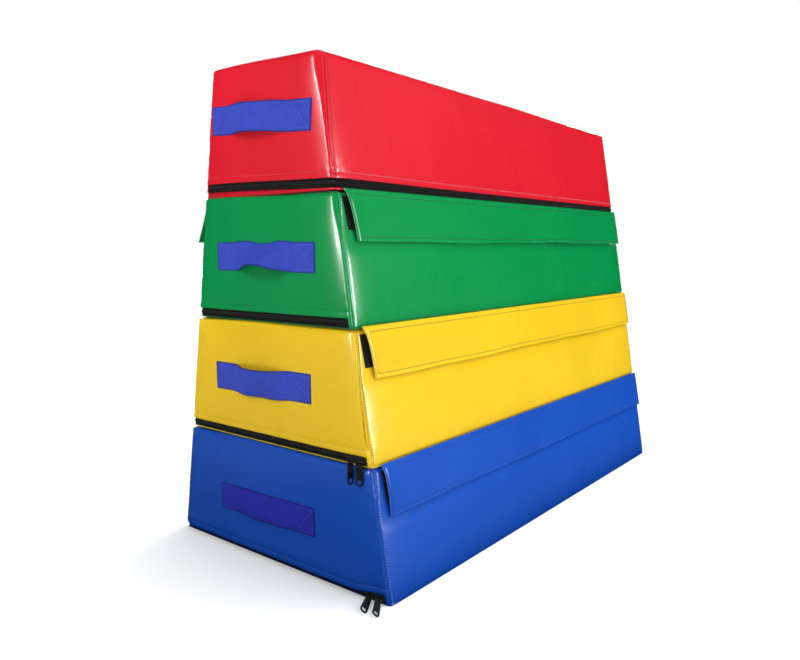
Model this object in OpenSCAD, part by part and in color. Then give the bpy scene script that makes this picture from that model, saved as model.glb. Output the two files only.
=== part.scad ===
// Soft vaulting box: four zipped foam sections stacked into a tapered horse.
// +X runs along the length, +Z up; the origin is the centre of the base, on the floor.
// Each section is a foam core in a sewn vinyl cover. The cover is a wrap (side, top, side),
// two end panels and a base panel that a zip opens on three of its four sides.
// Flaps sewn under the three upper sections grip the section below with hook and loop.

/* [Stack] */
// Length of every section, along X
length = 1000; // [700:10:1600]
// Width of the stack at the floor
base_width = 500; // [420:5:800]
// Width that one section loses from its foot to its top
taper = 65; // [30:1:80]
// Height of one section, foot to foot
pitch = 200; // [160:1:300]
// Gap left between two stacked sections
stack_gap = 0.3; // [0.1:0.1:2]

/* [Cover] */
// Thickness of the vinyl
cover_t = 1.2; // [0.8:0.1:2]
// Rounding of the cover's long top edges
edge_r = 8; // [4:1:20]

/* [Zip] */
// Height of the zip's centre line above the foot
zip_rise = 8.5; // [8:0.5:12]
// Height above the foot at which the vinyl over the zip ends
zip_window_top = 15; // [14:0.5:20]
// Height of the base panel's upturned lip, below the zip
lip_h = 2.4; // [1.5:0.1:3]
// Thickness of the zip's tape
tape_t = 1; // [0.6:0.1:1.5]
// Top of the upper tape, above the foot
tape_top = 20; // [18:1:30]
// Gap between the two halves of the zip, which the slider's web runs in
zip_gap = 1.8; // [1.6:0.1:2.4]
// Height of one coil strand
coil_h = 2; // [1.5:0.1:2.5]
// Length of vinyl left plain at each end of the zip, where the cover folds
zip_end = 8; // [5:1:20]
// Depth and height of the notch in the foam behind the zip
notch = [5, 24]; // [4:1:30]

/* [Slider and pull] */
// Length, height and thickness of the slider's front plate
slider_size = [15, 9, 1.2]; // [1:0.1:18]
// Distance between the two sliders, centre to centre
slider_pitch = 17; // [16:1:30]
// Distance from the slider's front plate to the bridge rod's centre
bridge_out = 5; // [4.8:0.1:6]
// Radius of the bridge rod
bridge_r = 0.9; // [0.7:0.1:1.1]
// Length of a pull, from its top edge to its round end
pull_l = 40; // [36:1:50]
// Width of a pull at its top and at its round end
pull_w = [9.4, 12]; // [8:0.1:14]
// Thickness of a pull
pull_t = 1.6; // [1.2:0.1:2]
// Width and height of the slot that takes the bridge
pull_slot = [6.4, 5.4]; // [5:0.1:7]
// Diameter of the hole in a pull's round end
pull_hole_d = 7.5; // [5:0.5:8]

/* [Handles] */
// Length of a handle strap, between its sewn ends
strap_l = 232; // [180:1:300]
// Width of the webbing
strap_w = 50; // [40:1:60]
// Thickness of the webbing
strap_t = 2; // [1.5:0.1:3]
// Length of the patch that is sewn down at each end of a strap
strap_patch = 45; // [30:1:60]
// How far the slack middle of a strap stands off the end panel
strap_slack = 20; // [12:1:40]
// Height of each handle's centre line above its section's foot, base to top
handle_rise = [90, 102, 103, 117]; // [60:1:140]
// Sideways place of each handle's middle, base to top
handle_shift = [14, 16, 2, 8]; // [-20:1:20]

/* [Flaps] */
// Length of a flap from its seam to its free edge
flap_drop = 78; // [70:1:120]
// Thickness of the flap's vinyl
flap_t = 1.5; // [1:0.1:2]
// Start and end of a flap along X
flap_x = [-485, 497]; // [-500:1:500]
// Width of the hook tape and of the loop tape
grip_w = 50; // [30:1:60]
// Thickness of the hook tape and of the loop tape
grip_t = 1.2; // [0.8:0.1:2]
// Gap between hook and loop
grip_gap = 0.4; // [0.3:0.1:1]
// Distance from the flap's seam to the hook tape, down the slope
hook_start = 20; // [12:1:40]
// Distance from the section's top edge to the loop tape, down the slope
loop_start = 9; // [8:1:20]
// Distance from the section's ends to the ends of the loop tape
loop_end = 12; // [5:1:30]

/* [Hidden] */
$fn = 32;
SECTIONS = ["base", "lower", "upper", "top"];
COLOURS = ["mediumblue", "gold", "seagreen", "crimson"];
SECTION_NODES = ["foam_core", "wrap_cover", "end_panels", "base_panel", "zip_tape", "zip_coil",
    "zip_slider_open", "zip_pull_open", "zip_slider_parked", "zip_pull_parked", "handles"];
JOINT_NODES = ["flap_left", "flap_right", "hook_left", "hook_right"];

// Which long side the zip takes, +1 left (+Y) or -1 right (-Y), and the end its sliders park at
ZIP_SIDE = [1, 1, 1, -1];
PARK_END = [-1, -1, 1, 1];
// How each section's two pulls lie, open then parked: swing out from the end panel, twist about
// the pull's own length, turn about Z, and place along the bridge rod. The base's lie on the floor.
PULL_LIE = [
    [[82, 40, 26, -1], [82, 40, 34, -1]],
    [[0, 84, 0, 0], [0, 40, 0, 0]],
    [[0, 42, 0, 0], [0, 78, 0, 0]],
    [[0, 80, 0, 0], [0, 38, 0, 0]]
];

slope = taper / 2 / pitch;
lean = atan(slope);
wide = 2 * length;
slider_gap = 0.4;
slider_inset = 3;
coil_sink = 0.2;
web_t = 1.2;
bar_h = 1.3;
seat_lying = 2.1;
slider_front = slider_gap - coil_sink + slider_size[2];
rod_x = slider_front + bridge_out;
flap_out = grip_t + grip_gap + grip_t + flap_t / 2;
hinge_up = 1;
hinge_y = flap_out * cos(lean) - hinge_up * sin(lean);
seam_lip = hinge_y - flap_t / 2 - 0.4;

function foot_z(s) = s * pitch;
function head_z(s) = (s + 1) * pitch - stack_gap;
// Half width of the stack's sloping side at a height
function half_w(z) = base_width / 2 - slope * z;

// Half widths and heights of a section's outline from z_lo to z_hi, inset all round by d
function side_points(z_lo, z_hi, d, r) =
    let (zc = z_hi - r, yc = half_w(zc) - d - r * sqrt(1 + slope * slope), steps = 8)
    concat([[half_w(z_lo) - d, z_lo]],
        [for (i = [0:steps]) let (a = lean + (90 - lean) * i / steps)
            [yc + r * cos(a), zc + r * sin(a)]]);

function reversed(p) = [for (i = [len(p) - 1:-1:0]) p[i]];
function mirrored(p) = [for (q = reversed(p)) [-q[0], q[1]]];
function outline(z_lo, z_hi, d, r) =
    let (half = side_points(z_lo, z_hi, d, r)) concat(half, mirrored(half));

// Extrudes an outline drawn in Y and Z along X
module along_x(x0, x1) {
    translate([x0, 0, 0]) rotate([90, 0, 90]) linear_extrude(x1 - x0) children();
}

// Draws for a zip on the left, and mirrors it where the zip is on the right
module on_zip_side(s) {
    if (ZIP_SIDE[s] < 0) mirror([0, 1, 0]) children();
    else children();
}

// Draws at the -X end, and mirrors it where the sliders park at the +X end
module at_park_end(s) {
    on_zip_side(s) {
        if (PARK_END[s] > 0) mirror([1, 0, 0]) children();
        else children();
    }
}

// A band that follows the zip along one end, the zip side and the other end,
// from depth d0 to depth d1 inside the cover's face, from z0 to z1 above the foot
module zip_run(s, d0, d1, z0, z1) {
    lo = foot_z(s) + z0;
    hi = foot_z(s) + z1;
    half_end = length / 2;
    on_zip_side(s) {
        along_x(-half_end + d0, half_end - d0) polygon([
            [half_w(lo) - d1, lo], [half_w(lo) - d0, lo],
            [half_w(hi) - d0, hi], [half_w(hi) - d1, hi]]);
        for (e = [0, 1]) mirror([e, 0, 0])
            along_x(-half_end + d0, -half_end + d1) polygon([
                [zip_end - half_w(lo), lo], [half_w(lo) - d0, lo],
                [half_w(hi) - d0, hi], [zip_end - half_w(hi), hi]]);
    }
}

module foam_core(s) {
    d = cover_t;
    color("khaki") difference() {
        along_x(-length / 2 + d, length / 2 - d)
            polygon(outline(foot_z(s) + d, head_z(s) - d, d, edge_r - d));
        zip_run(s, 0, notch[0], -1, notch[1]);
    }
}

// The wrap: side, top, side. It stops short of the foot where the zip is.
module wrap_cover(s) {
    foot = foot_z(s);
    head = head_z(s);
    color(COLOURS[s]) on_zip_side(s) along_x(-length / 2 + cover_t, length / 2 - cover_t)
        difference() {
            polygon(outline(foot + cover_t, head, 0, edge_r));
            polygon(outline(foot - 1, head - cover_t, cover_t, edge_r - cover_t));
            translate([0, foot]) square([wide, zip_window_top]);
        }
}

module end_panels(s) {
    foot = foot_z(s);
    color(COLOURS[s]) on_zip_side(s) for (x = [-length / 2, length / 2 - cover_t])
        along_x(x, x + cover_t) difference() {
            polygon(outline(foot + cover_t, head_z(s), 0, edge_r));
            translate([zip_end - half_w(foot), foot]) square([wide, zip_window_top]);
        }
}

// The base panel with its lip below the zip, and the seam allowances that carry the flaps
module base_panel(s) {
    foot = foot_z(s);
    color(COLOURS[s]) {
        along_x(-length / 2, length / 2) polygon([
            [-half_w(foot), foot], [half_w(foot), foot],
            [half_w(foot + cover_t), foot + cover_t], [-half_w(foot + cover_t), foot + cover_t]]);
        zip_run(s, 0, cover_t, 0, lip_h);
        if (s > 0) for (side = [0, 1]) mirror([0, side, 0])
            translate([flap_x[0], half_w(foot) - 1, foot])
                cube([flap_x[1] - flap_x[0], 1 + seam_lip, cover_t]);
    }
}

module zip_tape(s) {
    color("black") {
        zip_run(s, cover_t, cover_t + tape_t, zip_rise + zip_gap / 2, tape_top);
        zip_run(s, cover_t, cover_t + tape_t, cover_t, zip_rise - zip_gap / 2);
    }
}

module zip_coil(s) {
    color("dimgray") {
        zip_run(s, coil_sink, cover_t, zip_rise + zip_gap / 2, zip_rise + zip_gap / 2 + coil_h);
        zip_run(s, coil_sink, cover_t, zip_rise - zip_gap / 2 - coil_h, zip_rise - zip_gap / 2);
    }
}

// Place of a slider: n = 0 parked at the end of the zip, n = 1 beside it, ready to open
module at_slider(s, n) {
    y = zip_end + slider_size[0] / 2 + slider_inset - half_w(foot_z(s)) + n * slider_pitch;
    at_park_end(s) translate([-length / 2, y, foot_z(s) + zip_rise]) children();
}

// A slider drawn with its face towards -X: front plate with its flanges, back plate behind the
// tapes, the web between the two coils, and the bridge that carries the pull
module slider_body() {
    l = slider_size[0];
    h = slider_size[1];
    front = slider_gap - coil_sink;
    back = cover_t + tape_t + slider_gap;
    post_y = l / 2 - bridge_r - 0.5;
    translate([-slider_front, -l / 2, -h / 2]) cube([slider_size[2], l, h]);
    for (z = [-h / 2, h / 2 - 1])
        translate([-front, -l / 2, z]) cube([front + cover_t - slider_gap, l, 1]);
    translate([back, -l / 2, -h / 2]) cube([1, l, h]);
    translate([-front, l / 2 - 4, -web_t / 2]) cube([front + back, 4, web_t]);
    for (side = [-1, 1]) translate([-rod_x, side * post_y, 0])
        rotate([0, 90, 0]) cylinder(h = bridge_out, r = bridge_r);
    translate([-rod_x, -post_y - bridge_r, 0])
        rotate([-90, 0, 0]) cylinder(h = 2 * (post_y + bridge_r), r = bridge_r);
}

module zip_slider(s, n) {
    color("black") at_slider(s, n) slider_body();
}

// A pull whose slot takes the rod at the origin: a tapered tab with a sunk and ribbed middle on
// both faces and a hole in its round end. The slot's top edge is seat above the rod's centre.
module pull_tab(twist, seat) {
    top = seat + bar_h;
    end_r = pull_w[1] / 2;
    end_z = top - pull_l + end_r;
    shift = (pull_slot[0] / 2 - bridge_r - slider_gap) * pow(sin(twist), 2);
    slot_z = seat - pull_slot[1];
    field = [slot_z - 2, end_z + pull_hole_d / 2 + 2];
    translate([0, shift, 0]) difference() {
        translate([-pull_t / 2, 0, 0]) rotate([90, 0, 90]) linear_extrude(pull_t)
            difference() {
                union() {
                    polygon([[-pull_w[0] / 2, top], [pull_w[0] / 2, top],
                        [end_r, end_z], [-end_r, end_z]]);
                    translate([0, end_z]) circle(end_r);
                }
                translate([-pull_slot[0] / 2, slot_z]) square(pull_slot);
                translate([0, end_z]) circle(d = pull_hole_d);
            }
        for (side = [-1, 1], rib = [-1:1])
            translate([side * pull_t / 2 - 0.3, rib * 2.3 - 0.8, field[1]])
                cube([0.6, 1.6, field[0] - field[1]]);
    }
}

module zip_pull(s, n) {
    lie = PULL_LIE[s][1 - n];
    seat = lie[0] > 0 ? seat_lying : bridge_r + slider_gap;
    color("black") at_slider(s, n) translate([-rod_x, lie[3], 0])
        rotate([0, 0, lie[2]]) rotate([0, lie[0], 0]) rotate([0, 0, lie[1]])
            pull_tab(lie[1], seat);
}

// Distance of the strap from the end panel, a fraction u of the way from one end to the other
function strap_off(u) =
    let (flat = strap_patch / strap_l, v = (u - flat) / (1 - 2 * flat))
    v <= 0 || v >= 1 ? 0 : strap_slack * (1 - pow(abs(2 * v - 1), 3));

// Webbing handles, one on each end panel
module handles(s) {
    steps = 32;
    face = [for (i = [0:steps]) [strap_off(i / steps), (i / steps - 0.5) * strap_l]];
    strap = concat(face, [for (p = reversed(face)) [p[0] + strap_t, p[1]]]);
    color("mediumblue") for (e = [0, 1]) mirror([e, 0, 0])
        translate([-length / 2, handle_shift[s], foot_z(s) + handle_rise[s] - strap_w / 2])
            mirror([1, 0, 0]) linear_extrude(strap_w) polygon(strap);
}

// Draws in the plane of a joint's sloping side: local y is out of the face, -z down the slope,
// from the edge where section s stands on the one below it
module on_slope(s, side) {
    mirror([0, side < 0 ? 1 : 0, 0]) translate([0, half_w(foot_z(s)), foot_z(s)])
        rotate([lean, 0, 0]) children();
}

// A flap with a round seam edge, which turns about its own seam line
module flap(s, side) {
    run = flap_x[1] - flap_x[0];
    color(COLOURS[s - 1]) on_slope(s, side) translate([flap_x[0], flap_out, hinge_up]) {
        translate([0, -flap_t / 2, -flap_drop]) cube([run, flap_t, flap_drop]);
        rotate([0, 90, 0]) cylinder(h = run, d = flap_t);
    }
}

module hook(s, side) {
    inset = 8;
    color("black") on_slope(s, side)
        translate([flap_x[0] + inset, grip_t + grip_gap, hinge_up - hook_start - grip_w])
            cube([flap_x[1] - flap_x[0] - 2 * inset, grip_t, grip_w]);
}

// Loop tape on both sloping sides of section s, near its top
module loop_strips(s) {
    color("black") for (side = [-1, 1]) on_slope(s + 1, side)
        translate([loop_end - length / 2, 0, -loop_start - grip_w])
            cube([length - 2 * loop_end, grip_t, grip_w]);
}

foam_core(0);  // base_foam_core
foam_core(1);  // lower_foam_core
foam_core(2);  // upper_foam_core
foam_core(3);  // top_foam_core

wrap_cover(0);  // base_wrap_cover
wrap_cover(1);  // lower_wrap_cover
wrap_cover(2);  // upper_wrap_cover
wrap_cover(3);  // top_wrap_cover

end_panels(0);  // base_end_panels
end_panels(1);  // lower_end_panels
end_panels(2);  // upper_end_panels
end_panels(3);  // top_end_panels

base_panel(0);  // base_base_panel
base_panel(1);  // lower_base_panel
base_panel(2);  // upper_base_panel
base_panel(3);  // top_base_panel

zip_tape(0);  // base_zip_tape
zip_tape(1);  // lower_zip_tape
zip_tape(2);  // upper_zip_tape
zip_tape(3);  // top_zip_tape

zip_coil(0);  // base_zip_coil
zip_coil(1);  // lower_zip_coil
zip_coil(2);  // upper_zip_coil
zip_coil(3);  // top_zip_coil

zip_slider(0, 1);  // base_zip_slider_open
zip_slider(1, 1);  // lower_zip_slider_open
zip_slider(2, 1);  // upper_zip_slider_open
zip_slider(3, 1);  // top_zip_slider_open

zip_pull(0, 1);  // base_zip_pull_open
zip_pull(1, 1);  // lower_zip_pull_open
zip_pull(2, 1);  // upper_zip_pull_open
zip_pull(3, 1);  // top_zip_pull_open

zip_slider(0, 0);  // base_zip_slider_parked
zip_slider(1, 0);  // lower_zip_slider_parked
zip_slider(2, 0);  // upper_zip_slider_parked
zip_slider(3, 0);  // top_zip_slider_parked

zip_pull(0, 0);  // base_zip_pull_parked
zip_pull(1, 0);  // lower_zip_pull_parked
zip_pull(2, 0);  // upper_zip_pull_parked
zip_pull(3, 0);  // top_zip_pull_parked

handles(0);  // base_handles
handles(1);  // lower_handles
handles(2);  // upper_handles
handles(3);  // top_handles

flap(1, 1);  // lower_flap_left
flap(2, 1);  // upper_flap_left
flap(3, 1);  // top_flap_left
flap(1, -1);  // lower_flap_right
flap(2, -1);  // upper_flap_right
flap(3, -1);  // top_flap_right

hook(1, 1);  // lower_hook_left
hook(2, 1);  // upper_hook_left
hook(3, 1);  // top_hook_left
hook(1, -1);  // lower_hook_right
hook(2, -1);  // upper_hook_right
hook(3, -1);  // top_hook_right

loop_strips(0);  // base_loop_strips
loop_strips(1);  // lower_loop_strips
loop_strips(2);  // upper_loop_strips
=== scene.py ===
# Looks of the stacked vaulting box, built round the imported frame.
# Lengths are in millimetres in the row frame until a mesh is made, which turns them into metres.
import math

import bpy
import numpy as np
from mathutils import Matrix, Vector


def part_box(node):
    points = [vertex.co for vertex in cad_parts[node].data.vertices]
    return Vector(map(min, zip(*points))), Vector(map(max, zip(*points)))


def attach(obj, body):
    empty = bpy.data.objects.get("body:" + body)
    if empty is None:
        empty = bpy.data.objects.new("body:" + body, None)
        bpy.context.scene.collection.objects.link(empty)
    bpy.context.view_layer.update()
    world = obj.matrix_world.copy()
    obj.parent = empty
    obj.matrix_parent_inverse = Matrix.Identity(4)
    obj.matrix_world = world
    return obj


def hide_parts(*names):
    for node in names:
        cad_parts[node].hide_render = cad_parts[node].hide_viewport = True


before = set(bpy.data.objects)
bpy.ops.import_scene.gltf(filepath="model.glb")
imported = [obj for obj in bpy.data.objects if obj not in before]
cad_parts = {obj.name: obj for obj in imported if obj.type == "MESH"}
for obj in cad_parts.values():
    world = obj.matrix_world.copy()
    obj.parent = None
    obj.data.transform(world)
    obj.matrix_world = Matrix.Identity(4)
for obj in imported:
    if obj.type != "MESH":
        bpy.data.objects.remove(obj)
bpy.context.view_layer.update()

MM = 0.001
TINY = 1e-9
SECTIONS = ("base", "lower", "upper", "top")


def box_mm(node):
    """Lowest and highest corner of a CAD node."""
    low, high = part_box(node)
    return np.array(low) / MM, np.array(high) / MM


# ---------------------------------------------------------------- sizes read from the frame

HALF_L = box_mm("base_base_panel")[1][0]
HALF_FOOT = box_mm("base_base_panel")[1][1]
TOP_WRAP = box_mm("top_wrap_cover")
SLOPE = (HALF_FOOT - max(-TOP_WRAP[0][1], TOP_WRAP[1][1])) / TOP_WRAP[0][2]
LEAN = math.atan(SLOPE)

# ---------------------------------------------------------------- sizes of the sewn detail

COVER_T = 1.2

# Rounding of the edges at the foot, the middle and the top, by the near corner and elsewhere.
NEAR_RADII = (7.0, 5.0, 12.0)
OTHER_RADII = (8.0, 5.0, 4.0)
NEAR_REACH = 100.0

# The end seams' place in from the edge, and their topstitching beyond that.
SEAM_IN = 1.5
STITCH_IN = 6.0

# Heights over a section's foot: the vinyl's edge over the zip, the coil and the stitching above.
WINDOW_TOP = 15.0
ZIP_LINE = 8.5
HEM_STITCH = 24.0

# How far the zip's ends stay from the corners, where the sliders are.
ZIP_END = 8.0

# Height of the base panel's lip that shows under the zip.
LIPS = {"base": 0.9, "lower": 0.6, "upper": 0.9, "top": 1.7}

# Tone of that lip: below 0 is painted shade, above 0 is painted light that keeps the lip pale in
# its shade.
LIP_TONE = {"base": -0.3, "lower": 0.7, "upper": -0.3, "top": -0.3}

# How far the vinyl over the zip hangs out and down past its place on each section's ends.
HANG_OUT = {"base": 5.0, "lower": 0.6, "upper": 0.8, "top": 0.6}
HANG_DOWN = {"base": 4.0, "lower": 0.0, "upper": 0.0, "top": 0.0}

# Height of the wrap's edge where it is sewn to the base.
WRAP_FOOT = 1.4

# The cloth's mesh size, its frames, and how far it may move.
CLOTH_PITCH = 13.0
CLOTH_FRAMES = 20
CLOTH_CAP = 5.0

# Shape that a panel starts from: its dome, its roughness and how far its border stays flat.
DOME_H = 1.6
START_NOISE = 0.12
BORDER = 35.0


def half_width(z):
    """Half width of the stack at a height above the floor."""
    return HALF_FOOT - SLOPE * z


def smooth(t):
    """An S-curve from 0 to 1."""
    t = np.clip(t, 0, 1)
    return t * t * (3 - 2 * t)


def bell(x, width):
    """1 at x = 0, falling away over the width."""
    return np.exp(-((x / width) ** 2))


def unit(v):
    return v / np.maximum(np.linalg.norm(v, axis=-1, keepdims=True), TINY)


class Section:
    """One padded section: where it stands and which way round its zip is."""

    def __init__(self, name):
        low, high = box_mm(f"{name}_wrap_cover")
        slider = box_mm(f"{name}_zip_slider_parked")
        self.name = name
        self.index = SECTIONS.index(name)
        self.foot = box_mm(f"{name}_base_panel")[0][2]
        self.rise = high[2] - self.foot
        self.half = half_width(self.foot)
        self.zip_side = 1 if -low[1] > high[1] else -1
        self.park_end = 1 if slider[0][0] > 0 else -1
        self.fields = {}


# ---------------------------------------------------------------- creases

# Panel, start and end as shares (-1 to 1 across, 0 to 1 up), depth and half width of each crease.
# Ends are named by the sign of X, sides by the sign of Y.
CREASES = {
    "base": (
        ("end-", (0.93, 0.92), (-0.75, 0.89), 2.0, 9),
        ("end-", (0.97, 0.97), (0.62, 0.05), 2.6, 15),
        ("end-", (0.86, 0.90), (0.20, 0.12), 1.6, 24),
        ("end-", (0.30, 0.28), (-0.25, 0.10), 1.3, 20),
        ("end-", (-0.55, 0.75), (-0.80, 0.20), 1.2, 22),
        ("side-", (-0.97, 0.55), (-0.70, 0.05), 1.6, 20),
        ("side-", (0.20, 0.40), (0.60, 0.15), 1.0, 30),
    ),
    "lower": (
        ("end-", (0.92, 0.95), (0.25, 0.45), 1.8, 22),
        ("end-", (0.75, 0.35), (0.15, 0.10), 1.6, 24),
        ("end-", (-0.05, 0.95), (-0.55, 0.30), 1.6, 26),
        ("end-", (-0.40, 0.35), (-0.90, 0.10), 1.4, 20),
        ("side-", (-0.98, 0.30), (-0.80, 0.02), 1.8, 16),
        ("side-", (-0.30, 0.45), (0.15, 0.10), 1.2, 34),
    ),
    "upper": (
        ("end-", (0.80, 0.40), (0.20, 0.12), 1.8, 22),
        ("end-", (0.55, 0.95), (0.90, 0.55), 1.2, 20),
        ("end-", (-0.20, 0.30), (-0.75, 0.08), 1.5, 24),
        ("end-", (-0.65, 0.90), (-0.85, 0.45), 1.2, 20),
        ("side-", (-0.90, 0.35), (-0.60, 0.05), 1.2, 26),
        ("side-", (0.10, 0.42), (0.50, 0.12), 1.0, 36),
    ),
    "top": (
        ("end-", (0.80, 0.90), (0.35, 0.55), 1.2, 26),
        ("end-", (-0.10, 0.32), (-0.60, 0.12), 1.1, 26),
        ("end-", (0.60, 0.30), (0.05, 0.18), 1.0, 30),
        ("side-", (-0.55, 0.85), (-0.25, 0.50), 1.1, 40),
        ("side-", (0.45, 0.75), (0.65, 0.30), 1.0, 34),
        ("top", (-0.60, 0.30), (-0.20, 0.70), 1.2, 40),
        ("top", (0.40, 0.65), (0.75, 0.30), 1.0, 40),
    ),
}
HIDDEN_PANELS = ("end+", "side+")
HIDDEN_CREASES = 4

# How far the vinyl gives way beside its near corner seam, in mm: on the end panel at the top and
# foot, then on the long side at the top and foot.
CORNER_GIVE = {
    "base": (1.4, 0.6, 0.8, 2.0),
    "lower": (2.0, 0.5, 0.4, 2.0),
    "upper": (3.2, 0.6, 0.4, 1.8),
    "top": (2.6, 0.4, 0.4, 3.8),
}
OTHER_GIVE = (1.4, 0.6, 1.0, 1.4)
GIVE_REACH = 14.0

# Height of the band at the top of each long side that the flap above presses flat.
PRESSED = 100.0


def drawn_creases(sec):
    """The section's creases, with seeded ones on the two panels that have none listed."""
    rng = np.random.default_rng(40 + sec.index)
    made = list(CREASES[sec.name])
    for panel in HIDDEN_PANELS:
        for _ in range(HIDDEN_CREASES):
            start = (rng.uniform(-0.9, 0.9), rng.uniform(0.4, 0.9))
            end = (start[0] + rng.uniform(-0.5, 0.5), rng.uniform(0.05, 0.35))
            made.append((panel, start, end, rng.uniform(1.0, 1.9), rng.uniform(16, 30)))
    return made


def panel_size(sec, panel):
    """Width and height of one of the five soft panels."""
    if panel == "top":
        return 2 * HALF_L, 2 * sec.half
    return (2 * sec.half if panel.startswith("end") else 2 * HALF_L), sec.rise


def crease_depth(sec, panel, a, b):
    """Depth of the panel's creases at shares a and b, both 0 to 1."""
    width, height = panel_size(sec, panel)
    depth = np.zeros_like(a)
    for where, start, end, deep, wide in drawn_creases(sec):
        if where != panel:
            continue
        p0 = np.array([(start[0] + 1) / 2 * width, start[1] * height])
        p1 = np.array([(end[0] + 1) / 2 * width, end[1] * height])
        run = p1 - p0
        x, y = a * width - p0[0], b * height - p0[1]
        along = np.clip((x * run[0] + y * run[1]) / (run @ run), 0, 1)
        off = np.hypot(x - along * run[0], y - along * run[1])
        fade = 0.35 + 0.65 * np.sin(np.pi * along)
        depth += deep * fade * (bell(off, wide) - 0.35 * bell(off, 2.4 * wide))
    return depth


# ---------------------------------------------------------------- cloth

PANELS = ("end-", "end+", "side-", "side+", "top")


def start_heights(sec, panel):
    """A panel's shape before it settles: a shallow dome with its creases."""
    width, height = panel_size(sec, panel)
    cols = round(width / CLOTH_PITCH) + 1
    rows = round(height / CLOTH_PITCH) + 1
    a, b = np.meshgrid(np.linspace(0, 1, cols), np.linspace(0, 1, rows), indexing="ij")
    border = (smooth(np.minimum(a, 1 - a) * width / BORDER) *
              smooth(np.minimum(b, 1 - b) * height / BORDER))
    rng = np.random.default_rng(7 * sec.index + PANELS.index(panel))
    dome = DOME_H * (1 - (2 * a - 1) ** 4) * (1 - (2 * b - 1) ** 2)
    rough = rng.normal(0, START_NOISE, a.shape)
    return border * (dome - crease_depth(sec, panel, a, b) + rough)


def cloth_panel(sec, panel, heights):
    """A sheet of vinyl held at its seams, ready to settle over the foam."""
    width, height = panel_size(sec, panel)
    cols, rows = heights.shape
    a, b = np.meshgrid(np.linspace(0, width, cols), np.linspace(0, height, rows), indexing="ij")
    points = np.stack([a, b, heights], axis=-1).reshape(-1, 3) * MM
    mesh = bpy.data.meshes.new(f"cloth_{sec.name}_{panel}")
    mesh.from_pydata(points.tolist(), [], grid_quads(cols, rows).tolist())
    obj = bpy.data.objects.new(mesh.name, mesh)
    bpy.context.scene.collection.objects.link(obj)
    held = obj.vertex_groups.new(name="held")
    edge = np.zeros((cols, rows), bool)
    edge[[0, -1]] = True
    edge[:, [0, -1]] = True
    held.add(np.flatnonzero(edge.ravel()).tolist(), 1.0, "ADD")
    cloth = obj.modifiers.new("cloth", "CLOTH")
    cloth.point_cache.frame_end = CLOTH_FRAMES
    feel = cloth.settings
    feel.quality = 6
    feel.mass = 0.5
    feel.tension_stiffness = feel.compression_stiffness = 40
    feel.shear_stiffness = 20
    feel.bending_stiffness = 3
    feel.use_pressure = True
    feel.uniform_pressure_force = 3
    feel.shrink_min = -0.0015
    feel.effector_weights.gravity = 0
    feel.vertex_group_mass = "held"
    return obj


def settle(sections):
    """Simulates every soft panel at once and keeps each one's height field."""
    cloths = []
    for sec in sections:
        for panel in PANELS:
            heights = start_heights(sec, panel)
            sec.fields[panel] = heights
            cloths.append((sec, panel, cloth_panel(sec, panel, heights)))
    if not cloths:
        return
    scene = bpy.context.scene
    for step in range(1, CLOTH_FRAMES + 1):
        scene.frame_set(step)
    shapes = bpy.context.evaluated_depsgraph_get()
    for sec, panel, obj in cloths:
        settled = obj.evaluated_get(shapes).data
        at = np.empty(len(settled.vertices) * 3, np.float32)
        settled.vertices.foreach_get("co", at)
        height = at.reshape(-1, 3)[:, 2].reshape(sec.fields[panel].shape) / MM
        sec.fields[panel] = CLOTH_CAP * np.tanh(height / CLOTH_CAP)
    for _, _, obj in cloths:
        mesh = obj.data
        bpy.data.objects.remove(obj)
        bpy.data.meshes.remove(mesh)
    scene.frame_set(1)


def read_field(field, a, b):
    """Value of a height field at shares a and b of its sides, by a cubic B-spline."""
    wide = np.pad(field, 2, mode="edge")

    def weights(t, count):
        x = np.clip(t, 0, 1) * (count - 1)
        i = np.minimum(x.astype(int), count - 2)
        f = x - i
        return i, ((1 - f) ** 3 / 6, (3 * f**3 - 6 * f**2 + 4) / 6,
                   (-3 * f**3 + 3 * f**2 + 3 * f + 1) / 6, f**3 / 6)

    i, wa = weights(a, field.shape[0])
    j, wb = weights(b, field.shape[1])
    return sum(wa[m] * wb[n] * wide[i + m + 1, j + n + 1] for m in range(4) for n in range(4))


# ---------------------------------------------------------------- the skin of a section

def edge_radius(sec, q):
    """Rounding of the corners at a point, which is most at the section's near corner."""
    h = q[..., 2] / sec.rise
    near = (smooth(0.5 - q[..., 0] / (2 * NEAR_REACH)) *
            smooth(0.5 - q[..., 1] / (2 * NEAR_REACH)))
    foot, middle, top = (o + (n - o) * near for n, o in zip(NEAR_RADII, OTHER_RADII))
    below = (foot - middle) * (1 - smooth(h / 0.55))
    above = (top - middle) * smooth(h / 0.4 - 1.5)
    return middle + below + above


# How far the near corner's seam strays onto the long side, in mm, at the section's top and foot.
STRAY = {"base": (-2, -1), "lower": (0, -7), "upper": (2, 1), "top": (14, -3)}
STRAY_REACH = 45.0

# Corners that sit high or low: signs of X and Y, rise at the foot and at the top, and reach.
RISES = {
    "base": ((-1, 1, 0, -4, 120),),
    "lower": ((-1, 1, 0, -3, 120),),
    "upper": ((-1, 1, 0, 3, 160),),
    "top": ((-1, 1, 9, 7, 230), (1, -1, 0, -6, 380)),
}


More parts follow.
